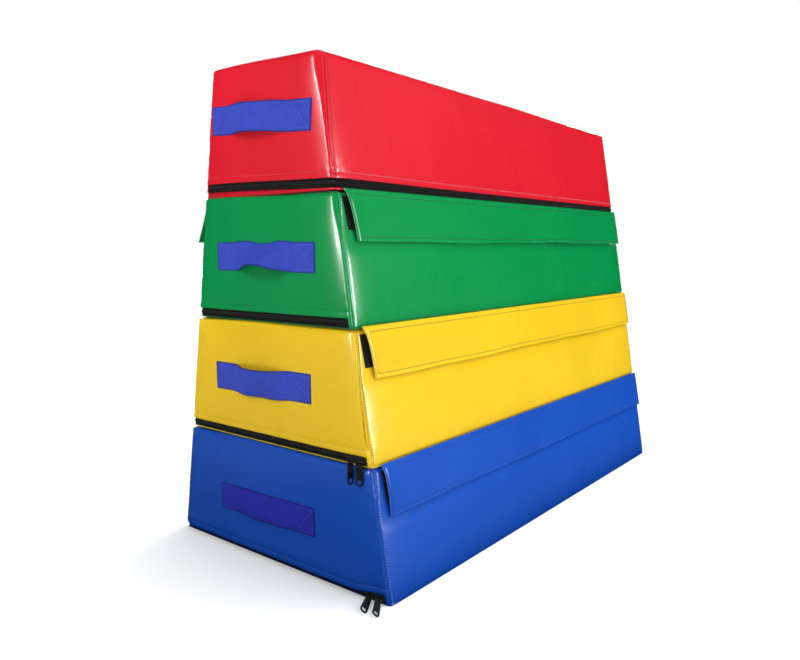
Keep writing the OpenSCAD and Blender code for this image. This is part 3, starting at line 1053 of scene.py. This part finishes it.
def flap_grid(down_lines, x0, x1, cut):
    """Places along and down a flap whose near edge is cut on a slant."""
    share = down_lines / FLAP_DROP
    first = x0 + cut[0] + (cut[1] - cut[0]) * share
    t = np.linspace(0, 1, int((x1 - x0) / FLAP_STEP))
    x = first[None, :] + (x1 - first)[None, :] * t[:, None]
    return x, np.broadcast_to(down_lines, x.shape)


def flap_piece(sec, side, vinyl, core, thread):
    """A flap's sheet, and the piece with its rolled edge and stitching."""
    flap = Flap(sec, side)
    cut = flap.cut
    x, down = flap_grid(FLAP_ROWS, flap.x0, flap.x1, cut)
    down = down + flap.hem(x, down)
    p, _ = flap.at(x, down, out=FLAP_T / 2)
    out = grid_normals(p)
    out = out * np.sign(out[..., 1].mean() * side)
    dimple = (DIMPLE * bell(down - FLAP_LINES[0], 1.1)
              + DIMPLE * bell(down - FLAP_DROP + FLAP_LINES[1], 1.1))
    p = p - out * dimple[..., None]
    # Paler along the hem and the near end: a painted highlight on the flap's edges.
    tone = 0.5 * bell(FLAP_DROP - down, 2.5) + 0.3 * bell(x - x[:1], 2.5)
    shape = Shape()
    order = row_order(side < 0)
    shape.shell(p[order], out[order], FLAP_T, tone=tone[order], rim=1)
    sewn = Shape()
    add_bead(sewn, flap, cut)
    sew_flap(sewn, flap, cut)
    name = f"{sec.name}_flap_{side_word(side)}"
    return (shape.build(f"{name}_sheet", [vinyl, core]),
            sewn.build(f"{name}_sewing", [vinyl, thread]))


# Radius of the rolled edge in the flap's seam.
BEAD_R = 0.78


def add_bead(shape, flap, cut):
    """The rolled edge of the flap in its seam."""
    x = np.linspace(flap.x0 + cut[0] + 0.5, flap.x1 - 0.5, 90)
    turns = np.linspace(0, 2 * np.pi, 9)[:-1]
    rings = [slope_point(flap.sec.foot, flap.side, x, FLAP_OUT + BEAD_R * math.cos(t),
                         HINGE_UP + BEAD_R * math.sin(t)) for t in turns]
    p = np.stack(rings + rings[:1], axis=1)
    shape.add(p, grid_quads(*p.shape[:2])[:, ::(-1 if flap.side < 0 else 1)])


def sew_flap(shape, flap, cut):
    """The stitched rectangle that holds the hook tape on."""
    top, bottom = FLAP_LINES[0], FLAP_DROP - FLAP_LINES[1]
    start = flap.x0 + cut[0] + FLAP_LINE_IN
    near_top, near_bottom = (start + (cut[1] - cut[0]) * d / FLAP_DROP for d in (top, bottom))
    far = flap.x1 - FLAP_LINE_IN
    knots = [(far, top), (near_top, top), (near_bottom, bottom), (far, bottom), (far, top)]
    line = resample(np.array(knots, float), 2.0)
    x, down = line.T
    p, out = flap.at(x, down + flap.hem(x, down), out=FLAP_T / 2 + 0.05)
    sew(shape, p, out, mark=1, size=1.3)


def grip_lines(length, step):
    """Rows across a tape, with its plain selvedges at both edges."""
    edge = np.array([0, 0.4, 2.2, 3.0])
    return np.concatenate([edge, lines_between(6, length - 6, step), (length - edge)[::-1]])


def pile(across):
    """Height of the pile over the tape's backing, as a share, at a place across the tape."""
    edge = np.minimum(across, GRIP_W - across)
    return 0.45 + 0.55 * smooth((edge - 1.8) / 1.6)


def hook_piece(sec, side, material):
    """Hook tape on the back of a flap."""
    flap = Flap(sec, side)
    x = lines_between(flap.x0 + 10, flap.x1 - 8, 10)
    across = grip_lines(GRIP_W, 7)
    grid_x, grid_a = np.meshgrid(x, across, indexing="ij")
    down = HOOK_START + grid_a
    slant = flap.cut[1] * down / FLAP_DROP * np.clip(1 - (grid_x - x[0]) / 60, 0, 1)
    back, out = flap.at(grid_x + slant, down, out=-FLAP_T / 2 - 0.05)
    thick = GRIP_T * pile(grid_a)
    run = np.stack([grid_x, grid_a, np.zeros_like(grid_x)], axis=-1)
    order = row_order(side < 0)
    shape = Shape()
    shape.shell(back[order], out[order], thick[order][..., None], run=run[order])
    return shape.build(f"{sec.name}_hook_{side_word(side)}_tape", [material])


def loop_piece(sec, material):
    """Loop tapes on both sloping sides, near the section's top."""
    low, high = box_mm(f"{sec.name}_loop_strips")
    joint = box_mm(f"{SECTIONS[sec.index + 1]}_base_panel")[0][2] - sec.foot
    shape = Shape()
    cut = LOOP_CUT[sec.name]
    across = grip_lines(GRIP_W, 7)
    t = np.linspace(0, 1, 100)
    first = low[0] + cut[0] + (cut[1] - cut[0]) * across / GRIP_W
    grid_x = first[None, :] + (high[0] - first)[None, :] * t[:, None]
    grid_a = np.broadcast_to(across, grid_x.shape)
    for side in (-1, 1):
        q = line_q(grid_x, side * sec.half, joint - (LOOP_START + grid_a) * math.cos(LEAN))
        p, out = skin(sec, q, lift=GRIP_T * pile(grid_a) - 0.1, fine=False)
        run = np.stack([grid_x, grid_a, np.zeros_like(grid_x)], axis=-1)
        order = row_order(side < 0)
        shape.shell(p[order], out[order], GRIP_T * pile(grid_a)[order][..., None], run=run[order])
    return shape.build(f"{sec.name}_loop_tapes", [material])


# ---------------------------------------------------------------- materials

def srgb(r, g, b):
    """A colour from 0 to 255 as a picture shows it, as the renderer wants it."""
    linear = [((c / 255 + 0.055) / 1.055) ** 2.4 if c > 10 else c / 255 / 12.92 for c in (r, g, b)]
    return (*linear, 1.0)


def shade(colour, factor):
    return (*[min(1.0, c * factor) for c in colour[:3]], 1.0)


class Finish:
    """A node material, with a short way to add nodes."""

    def __init__(self, name, **inputs):
        self.material = bpy.data.materials.new(name)
        self.material.use_nodes = True
        self.tree = self.material.node_tree
        self.surface = self.tree.nodes["Principled BSDF"]
        for key, value in inputs.items():
            self.surface.inputs[key.replace("_", " ")].default_value = value

    def node(self, kind, inputs=(), **settings):
        made = self.tree.nodes.new(kind)
        for key, value in settings.items():
            setattr(made, key, value)
        for key, value in dict(inputs).items():
            self.join(made.inputs[key], value)
        return made

    def join(self, socket, value):
        if isinstance(value, bpy.types.NodeSocket):
            self.tree.links.new(value, socket)
        else:
            socket.default_value = value

    def place(self):
        return self.node("ShaderNodeTexCoord").outputs["Object"]

    def attribute(self, name, output):
        return self.node("ShaderNodeAttribute", attribute_name=name).outputs[output]

    def noise(self, scale, detail=2.0, rough=0.5, place=None):
        return self.node("ShaderNodeTexNoise", {
            "Vector": place or self.place(), "Scale": scale, "Detail": detail,
            "Roughness": rough}).outputs["Fac"]

    def spread(self, value, low, high, to_low, to_high):
        return self.node("ShaderNodeMapRange", {
            "Value": value, "From Min": low, "From Max": high, "To Min": to_low,
            "To Max": to_high}).outputs["Result"]

    def math(self, operation, a, b=0.0):
        return self.node("ShaderNodeMath", {0: a, 1: b}, operation=operation).outputs[0]

    def wave(self, value, pitch):
        return self.math("SINE", self.math("MULTIPLY", value, 2 * math.pi / pitch))

    def cells(self, scale):
        """Distance to the nearest of a field of points."""
        return self.node("ShaderNodeTexVoronoi", {
            "Vector": self.place(), "Scale": scale}).outputs["Distance"]

    def mix(self, factor, a, b):
        made = self.node("ShaderNodeMix", data_type="RGBA")
        self.join(made.inputs["Factor"], factor)
        self.join([s for s in made.inputs if s.name == "A" and s.type == "RGBA"][0], a)
        self.join([s for s in made.inputs if s.name == "B" and s.type == "RGBA"][0], b)
        return [s for s in made.outputs if s.type == "RGBA"][0]

    def bump(self, height, strength, distance, below=None):
        inputs = {"Height": height, "Strength": strength, "Distance": distance * MM}
        if below is not None:
            inputs["Normal"] = below
        return self.node("ShaderNodeBump", inputs).outputs["Normal"]

    def wear(self, colour=None, roughness=None, normal=None):
        for key, value in (("Base Color", colour), ("Roughness", roughness), ("Normal", normal)):
            if value is not None:
                self.join(self.surface.inputs[key], value)
        return self.material


def vinyl_finish(name, colour, gloss=0.27):
    """Coated PVC fabric: fine grain and cloudy gloss. Tone above 0 makes it paler, rubbed wear and
    painted light; tone below 0 makes it darker, painted shade.
    """
    f = Finish(name, Specular_IOR_Level=0.3, Coat_Weight=0.3, Coat_Roughness=0.12)
    place = f.place()
    cloud = f.noise(5.0, 1.0, 0.4, place)
    tint = f.mix(cloud, shade(colour, 0.9), shade(colour, 1.1))
    tone = f.attribute("tone", "Fac")
    # Tone above 0 paints it paler (rubbed wear and painted light), tone below 0 paints shade.
    rubbed_and_lit = f.mix(f.spread(tone, 0, 1, 0, 0.45), tint, shade(colour, 1.6))
    painted_shade = f.mix(f.spread(tone, 0, -1, 0, 0.75), rubbed_and_lit, shade(colour, 0.3))
    rough = f.math("ADD", gloss - 0.03, f.math("MULTIPLY", cloud, 0.06))
    grain = f.bump(f.noise(700, 2, 0.6, place), 0.04, 0.25)
    return f.wear(painted_shade, rough, grain)


# The webbing's weave: half the width of its zigzag, and the pitch of its rows and of its ribs.
ZIGZAG = 6.0
TWILL_PITCH = 4.8
RIB_PITCH = 1.1


def webbing_finish(name, colour):
    """Woven polypropylene: herringbone rows, darker selvedges and a little fuzz."""
    f = Finish(name, Specular_IOR_Level=0.15, Sheen_Weight=0.02, Sheen_Roughness=0.4)
    run = f.node("ShaderNodeSeparateXYZ", {"Vector": f.attribute("run", "Vector")})
    u, v = run.outputs[0], run.outputs[1]
    zigzag = f.math("PINGPONG", f.math("ADD", v, 25.0), ZIGZAG)
    twill = f.wave(f.math("ADD", u, zigzag), TWILL_PITCH)
    ribs = f.wave(v, RIB_PITCH)
    weave = f.math("ADD", f.math("MULTIPLY", twill, 0.7), f.math("MULTIPLY", ribs, 0.3))
    selvedge = f.spread(f.math("ABSOLUTE", v), STRAP_W / 2 - 2.6, STRAP_W / 2 - 1.4, 0, 0.8)
    from_end = f.math("MINIMUM", u, f.math("SUBTRACT", STRAP_L, u))
    edge = f.math("MAXIMUM", selvedge, f.spread(from_end, 2.6, 1.4, 0, 0.8))
    lit = f.mix(f.spread(weave, -1, 1, 0, 1), shade(colour, 0.35), shade(colour, 1.75))
    cloudy = f.mix(f.spread(f.noise(60, 3), 0.35, 0.65, 0, 0.5), lit, shade(colour, 0.8))
    final = f.mix(edge, cloudy, shade(colour, 0.3))
    fuzz = f.bump(f.noise(1500, 2), 0.25, 0.3)
    normal = f.bump(weave, 0.7, 0.45, fuzz)
    return f.wear(final, f.spread(weave, -1, 1, 0.75, 0.5), normal)


def tape_finish(name, colour):
    """Zip tape: fine twill with a dull sheen."""
    f = Finish(name, Specular_IOR_Level=0.15, Sheen_Weight=0.03, Sheen_Roughness=0.5)
    run = f.node("ShaderNodeSeparateXYZ", {"Vector": f.attribute("run", "Vector")})
    diagonal = f.math("ADD", run.outputs[0], run.outputs[1])
    twill = f.wave(diagonal, 0.9)
    tint = f.mix(f.spread(twill, -1, 1, 0, 1), shade(colour, 0.6), shade(colour, 1.5))
    lint = f.mix(f.spread(f.noise(900, 3, 0.7), 0.7, 0.78, 0, 0.4), tint, srgb(90, 86, 80))
    return f.wear(lint, 0.72, f.bump(twill, 0.4, 0.2, f.bump(f.noise(80, 2), 0.2, 0.6)))


def hard_finish(name, colour, rough):
    """Lacquered metal or moulded nylon, with handling marks."""
    f = Finish(name, Coat_Weight=0.15, Coat_Roughness=0.3)
    smear = f.noise(240, 4, 0.6)
    tint = f.mix(f.spread(smear, 0.4, 0.7, 0, 1), colour, shade(colour, 2.2))
    worn = f.mix(f.spread(f.noise(900, 5, 0.75), 0.7, 0.76, 0, 0.6), tint, srgb(105, 100, 95))
    return f.wear(worn, f.spread(smear, 0.3, 0.7, rough - 0.08, rough + 0.12),
                  f.bump(f.noise(1400, 2), 0.12, 0.1))


def pile_finish(name, colour, scale, sheen):
    """Hook or loop tape: a dense field of tiny hooks or brushed loops."""
    f = Finish(name, Specular_IOR_Level=0.2, Sheen_Weight=sheen, Sheen_Roughness=0.6)
    dots = f.cells(scale)
    tufts = f.noise(scale * 0.5, 4, 0.7)
    tint = f.mix(f.spread(dots, 0.1, 0.7, 0, 1), shade(colour, 2.0), shade(colour, 0.5))
    lint = f.mix(f.spread(tufts, 0.66, 0.74, 0, 0.5), tint, srgb(95, 92, 88))
    return f.wear(lint, 0.9, f.bump(dots, 0.8, 0.7, f.bump(tufts, 0.4, 0.6)))


def foam_finish(name):
    """Open-cell polyurethane foam."""
    colour = srgb(226, 208, 150)
    f = Finish(name, Specular_IOR_Level=0.2)
    cells = f.cells(650.0)
    tint = f.mix(f.spread(cells, 0, 0.6, 0, 1), shade(colour, 0.75), colour)
    aged = f.mix(f.spread(f.noise(9, 3), 0.4, 0.7, 0, 0.4), tint, srgb(205, 170, 95))
    return f.wear(aged, 0.95, f.bump(cells, 0.7, 0.8))


def thread_finish(name, colour):
    """Twisted sewing thread."""
    f = Finish(name, Specular_IOR_Level=0.4, Sheen_Weight=0.3)
    twist = f.noise(2200, 2)
    tint = f.mix(f.spread(twist, 0.35, 0.65, 0, 1), shade(colour, 0.75), shade(colour, 1.15))
    return f.wear(tint, 0.5, f.bump(twist, 0.4, 0.15))


COLOURS = {
    "base": srgb(18, 80, 188),
    "lower": srgb(246, 202, 30),
    "upper": srgb(0, 148, 74),
    "top": srgb(226, 28, 46),
}
# One thread sews each section's corner seams and hems; its corner and hem colours differ by painted
# light and shade.
CORNER_THREADS_WITH_PAINTED_LIGHT = {
    "base": srgb(84, 130, 214),
    "lower": srgb(176, 130, 56),
    "upper": srgb(96, 205, 160),
    "top": srgb(206, 40, 58),
}
HEM_THREADS_WITH_PAINTED_LIGHT = {
    "base": srgb(16, 50, 130),
    "lower": srgb(140, 100, 32),
    "upper": srgb(0, 104, 52),
    "top": srgb(240, 110, 124),
}
FLAP_THREADS = {
    "base": srgb(14, 40, 110),
    "lower": srgb(104, 70, 16),
    "upper": srgb(0, 62, 30),
}
CUT_EDGES = {
    "base": srgb(96, 140, 215),
    "lower": srgb(252, 226, 130),
    "upper": srgb(110, 195, 150),
}


def dress_sliders(sec, metal, enamel):
    """Finishes the CAD sliders and pulls, and eases their edges."""
    for place in ("open", "parked"):
        for kind, material, ease in (("slider", metal, 0.35), ("pull", enamel, 0.25)):
            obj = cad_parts[f"{sec.name}_zip_{kind}_{place}"]
            obj.data.materials.clear()
            obj.data.materials.append(material)
            bevel = obj.modifiers.new("eased edges", "BEVEL")
            bevel.width = ease * MM
            bevel.segments = 2
            bevel.limit_method = "ANGLE"


# ---------------------------------------------------------------- camera, light and floor

# The camera's place in metres, its angles in degrees, and its lens and sensor in millimetres.
CAMERA_AT = (-1.24626, -0.87620, 0.51241)
CAMERA_TURN = 39.0603
CAMERA_PITCH = -6.4254
CAMERA_ROLL = -0.4121
LENS = 32.0
SENSOR = 36.0


def place_camera():
    turn, pitch, roll = (math.radians(a) for a in (CAMERA_TURN, CAMERA_PITCH, CAMERA_ROLL))
    level_part = math.cos(pitch)
    ahead = Vector((level_part * math.cos(turn), level_part * math.sin(turn), math.sin(pitch)))
    level = ahead.cross(Vector((0, 0, 1))).normalized()
    over = level.cross(ahead)
    right = math.cos(roll) * level + math.sin(roll) * over
    up = -math.sin(roll) * level + math.cos(roll) * over
    data = bpy.data.cameras.new("camera")
    data.lens = LENS
    data.sensor_width = SENSOR
    data.clip_end = 200
    obj = bpy.data.objects.new("camera", data)
    turned = Matrix((right, up, -ahead)).transposed().to_4x4()
    obj.matrix_world = Matrix.Translation(CAMERA_AT) @ turned
    bpy.context.scene.collection.objects.link(obj)
    bpy.context.scene.camera = obj


def soft_light(name, at, aim, size, watts, kind):
    """A rectangular light that serves either the diffuse or the glossy part of the materials."""
    data = bpy.data.lights.new(name, "AREA")
    data.shape = "RECTANGLE"
    data.size, data.size_y = size
    data.energy = watts
    obj = bpy.data.objects.new(name, data)
    obj.visible_diffuse = kind == "diffuse"
    obj.visible_glossy = kind == "glossy"
    way = Vector(aim) - Vector(at)
    obj.matrix_world = Matrix.Translation(at) @ way.to_track_quat("-Z", "Y").to_matrix().to_4x4()
    bpy.context.scene.collection.objects.link(obj)


# Lights, in metres and watts: place, aim, size, power, and what they light. Each has a twin on
# the other side.
LIGHTS = (
    ("end key", (-2.3, 0.4, 1.9), (-0.5, 0, 0.7), (1.3, 1.0), 25, "diffuse", "x"),
    ("side key", (0.1, -3.1, 0.8), (0, -0.2, 0.3), (2.2, 1.5), 13, "diffuse", "y"),
    ("end strip", (-2.75, 0.57, 1.15), (-0.5, 0, 0.6), (0.24, 1.5), 64, "glossy", "x"),
    ("side strip", (0.55, -2.48, 0.75), (0, -0.2, 0.4), (0.24, 1.4), 56, "glossy", "y"),
)

# Strength of the sky, then the sun's strength, width and tilt about X and Y, in degrees.
SKY = 0.22
SUN = 2.9
SUN_WIDTH = 80.0
SUN_TILT = (22.0, 24.0)


def twin(point, axis):
    """The point's mirror image across the middle of the object."""
    x, y, z = point
    return (-x, y, z) if axis == "x" else (x, -y, z)


def light_scene():
    world = bpy.data.worlds.new("studio")
    world.use_nodes = True
    sky = world.node_tree.nodes["Background"]
    sky.inputs["Color"].default_value = (0.93, 0.96, 1.0, 1)
    sky.inputs["Strength"].default_value = SKY
    world.cycles_visibility.glossy = False
    bpy.context.scene.world = world
    for name, at, aim, size, watts, kind, axis in LIGHTS:
        soft_light(name, at, aim, size, watts, kind)
        soft_light(name, twin(at, axis), twin(aim, axis), size, watts, kind)
    data = bpy.data.lights.new("sky glow", "SUN")
    data.energy = SUN
    data.angle = math.radians(SUN_WIDTH)
    glow = bpy.data.objects.new("sky glow", data)
    glow.rotation_euler = (math.radians(SUN_TILT[0]), math.radians(SUN_TILT[1]), 0)
    glow.visible_glossy = False
    bpy.context.scene.collection.objects.link(glow)


# The floor's half size and mesh, and the radius of the white dome over it.
FLOOR_HALF = 14000.0
FLOOR_STEPS = 29
DOME_R = 13500.0

# Half sizes of the middle of the floor, and of the part of it that lights nothing from below.
FLOOR_SPLIT = 1000.0
DIM_FLOOR = (980.0, 300.0)


def rectangle(x0, x1, y0, y1):
    """Corners of a rectangle on the floor."""
    return [(x0, y0, 0), (x1, y0, 0), (x1, y1, 0), (x0, y1, 0)]


def pale_floor():
    """A wide pale floor. Its middle, under the object, lights nothing from below."""
    f = Finish("floor finish", Specular_IOR_Level=0.0, Roughness=1.0,
               Emission_Color=(1, 1, 1, 1), Emission_Strength=0.17)
    cloud = f.spread(f.noise(3, 3), 0.3, 0.7, 0, 1)
    finish = f.wear(f.mix(cloud, (0.86, 0.86, 0.86, 1), (0.88, 0.88, 0.88, 1)))
    line = np.linspace(-FLOOR_HALF, FLOOR_HALF, FLOOR_STEPS)
    grid = line_q(line[:, None], line[None, :], 0.0)
    quads = grid_quads(FLOOR_STEPS, FLOOR_STEPS)
    middle = grid.reshape(-1, 3)[quads].mean(axis=1)
    one = [[0, 1, 2, 3]]
    x, y = DIM_FLOOR
    floor = Shape()
    floor.add(grid, quads[np.abs(middle[:, :2]).max(axis=1) > FLOOR_SPLIT])
    floor.add(rectangle(-x, x, y, FLOOR_SPLIT), one)
    floor.add(rectangle(-x, x, -FLOOR_SPLIT, -y), one)
    floor.add(rectangle(x, FLOOR_SPLIT, -FLOOR_SPLIT, FLOOR_SPLIT), one)
    floor.add(rectangle(-FLOOR_SPLIT, -x, -FLOOR_SPLIT, FLOOR_SPLIT), one)
    ground = floor.build("floor", [finish])
    ground.visible_glossy = False
    dim = Shape()
    dim.add(rectangle(-x, x, -y, y), one)
    close = dim.build("floor at the foot", [finish])
    close.visible_glossy = close.visible_diffuse = False


def white_backdrop():
    """A white dome that only the camera sees."""
    turns, rises = np.linspace(0, 2 * np.pi, 49), np.linspace(-0.02, np.pi / 2, 13)
    turn, rise = np.meshgrid(turns, rises, indexing="ij")
    dome = DOME_R * np.stack([np.cos(turn) * np.cos(rise), np.sin(turn) * np.cos(rise),
                              np.sin(rise)], axis=-1)
    wall = Shape()
    wall.add(dome, grid_quads(*turn.shape))
    white = Finish("backdrop finish", Emission_Color=(1, 1, 1, 1), Emission_Strength=1.0,
                   Base_Color=(0, 0, 0, 1), Specular_IOR_Level=0.0)
    obj = wall.build("backdrop", [white.material])
    obj.visible_diffuse = obj.visible_glossy = obj.visible_transmission = False
    obj.visible_shadow = False


# ---------------------------------------------------------------- putting it together

def dress_section(sec, finishes):
    """Makes every visible piece of one section."""
    name = sec.name
    vinyl = finishes[f"vinyl_{name}"]
    sewn = [vinyl, finishes[f"seam_{name}"], finishes[f"hem_{name}"]]
    wrap = wrap_cover(sec, sewn)
    ends = end_panels(sec, sewn)
    under = base_panel(sec, vinyl)
    for obj, node in ((wrap, "wrap_cover"), (ends, "end_panels"), (under, "base_panel")):
        thicken(obj, COVER_T)
        finish_piece(obj, name, [f"{name}_{node}"])
    foam = finish_piece(foam_core(sec, finishes["foam"]), name, [f"{name}_foam_core"])
    finish_piece(zip_tape(sec, finishes["tape"]), name, [f"{name}_zip_tape"])
    finish_piece(zip_coil(sec, finishes["coil"]), name, [f"{name}_zip_coil"])
    # The base section's strap and thread take darker copies: painted shade.
    webbing = finishes.get(f"webbing_{name}", finishes["webbing"])
    thread = finishes.get(f"strap_thread_{name}", finishes["strap_thread"])
    finish_piece(handles(sec, webbing, thread), name, [f"{name}_handles"])
    dress_sliders(sec, finishes["metal"], finishes["enamel"])
    if sec.index < len(SECTIONS) - 1:
        finish_piece(loop_piece(sec, finishes["loop"]), name, [f"{name}_loop_strips"])
    if sec.index > 0:
        dress_flaps(sec, SECTIONS[sec.index - 1], finishes)


def dress_flaps(sec, below, finishes):
    """Makes both flaps under a section, in the colour of the section below."""
    for side in (1, -1):
        word = side_word(side)
        body = f"{sec.name}_flap_{word}"
        sheet, sewn = flap_piece(sec, side, finishes[f"vinyl_{below}"], finishes[f"edge_{below}"],
                                 finishes[f"flap_thread_{below}"])
        finish_piece(sheet, body, [body])
        finish_piece(sewn, body, [])
        tape = hook_piece(sec, side, finishes["hook"])
        finish_piece(tape, body, [f"{sec.name}_hook_{word}"])


def make_finishes():
    made = {
        "foam": foam_finish("open-cell foam"),
        "tape": tape_finish("zip tape twill", srgb(11, 10, 10)),
        "coil": hard_finish("coil nylon", srgb(14, 14, 15), 0.5),
        "metal": hard_finish("black lacquered slider", srgb(20, 20, 21), 0.4),
        "enamel": hard_finish("black lacquered pull", srgb(20, 19, 18), 0.48),
        "webbing": webbing_finish("blue herringbone webbing", srgb(54, 74, 196)),
        # The base's strap and thread are the same webbing and thread as the others, made darker:
        # painted shade.
        "webbing_base": webbing_finish("dark blue herringbone webbing", srgb(24, 39, 182)),
        "strap_thread": thread_finish("strap thread", srgb(84, 96, 222)),
        "strap_thread_base": thread_finish("dark strap thread", srgb(44, 52, 186)),
        "hook": pile_finish("hook pile", srgb(12, 12, 12), 900.0, 0.05),
        "loop": pile_finish("loop pile", srgb(12, 12, 12), 500.0, 0.1),
    }
    for name in SECTIONS:
        made[f"vinyl_{name}"] = vinyl_finish(f"{name} vinyl", COLOURS[name])
        made[f"seam_{name}"] = thread_finish(f"{name} seam thread", CORNER_THREADS_WITH_PAINTED_LIGHT[name])
        made[f"hem_{name}"] = thread_finish(f"{name} hem thread", HEM_THREADS_WITH_PAINTED_LIGHT[name])
        if name in FLAP_THREADS:
            made[f"flap_thread_{name}"] = thread_finish(f"{name} flap thread", FLAP_THREADS[name])
            made[f"edge_{name}"] = thread_finish(f"{name} cut edge", CUT_EDGES[name])
    return made


place_camera()
light_scene()
pale_floor()
white_backdrop()
bpy.context.scene.view_settings.view_transform = "Standard"

SECTION_LIST = [Section(name) for name in SECTIONS]
settle(SECTION_LIST)
FINISHES = make_finishes()
for section in SECTION_LIST:
    dress_section(section, FINISHES)
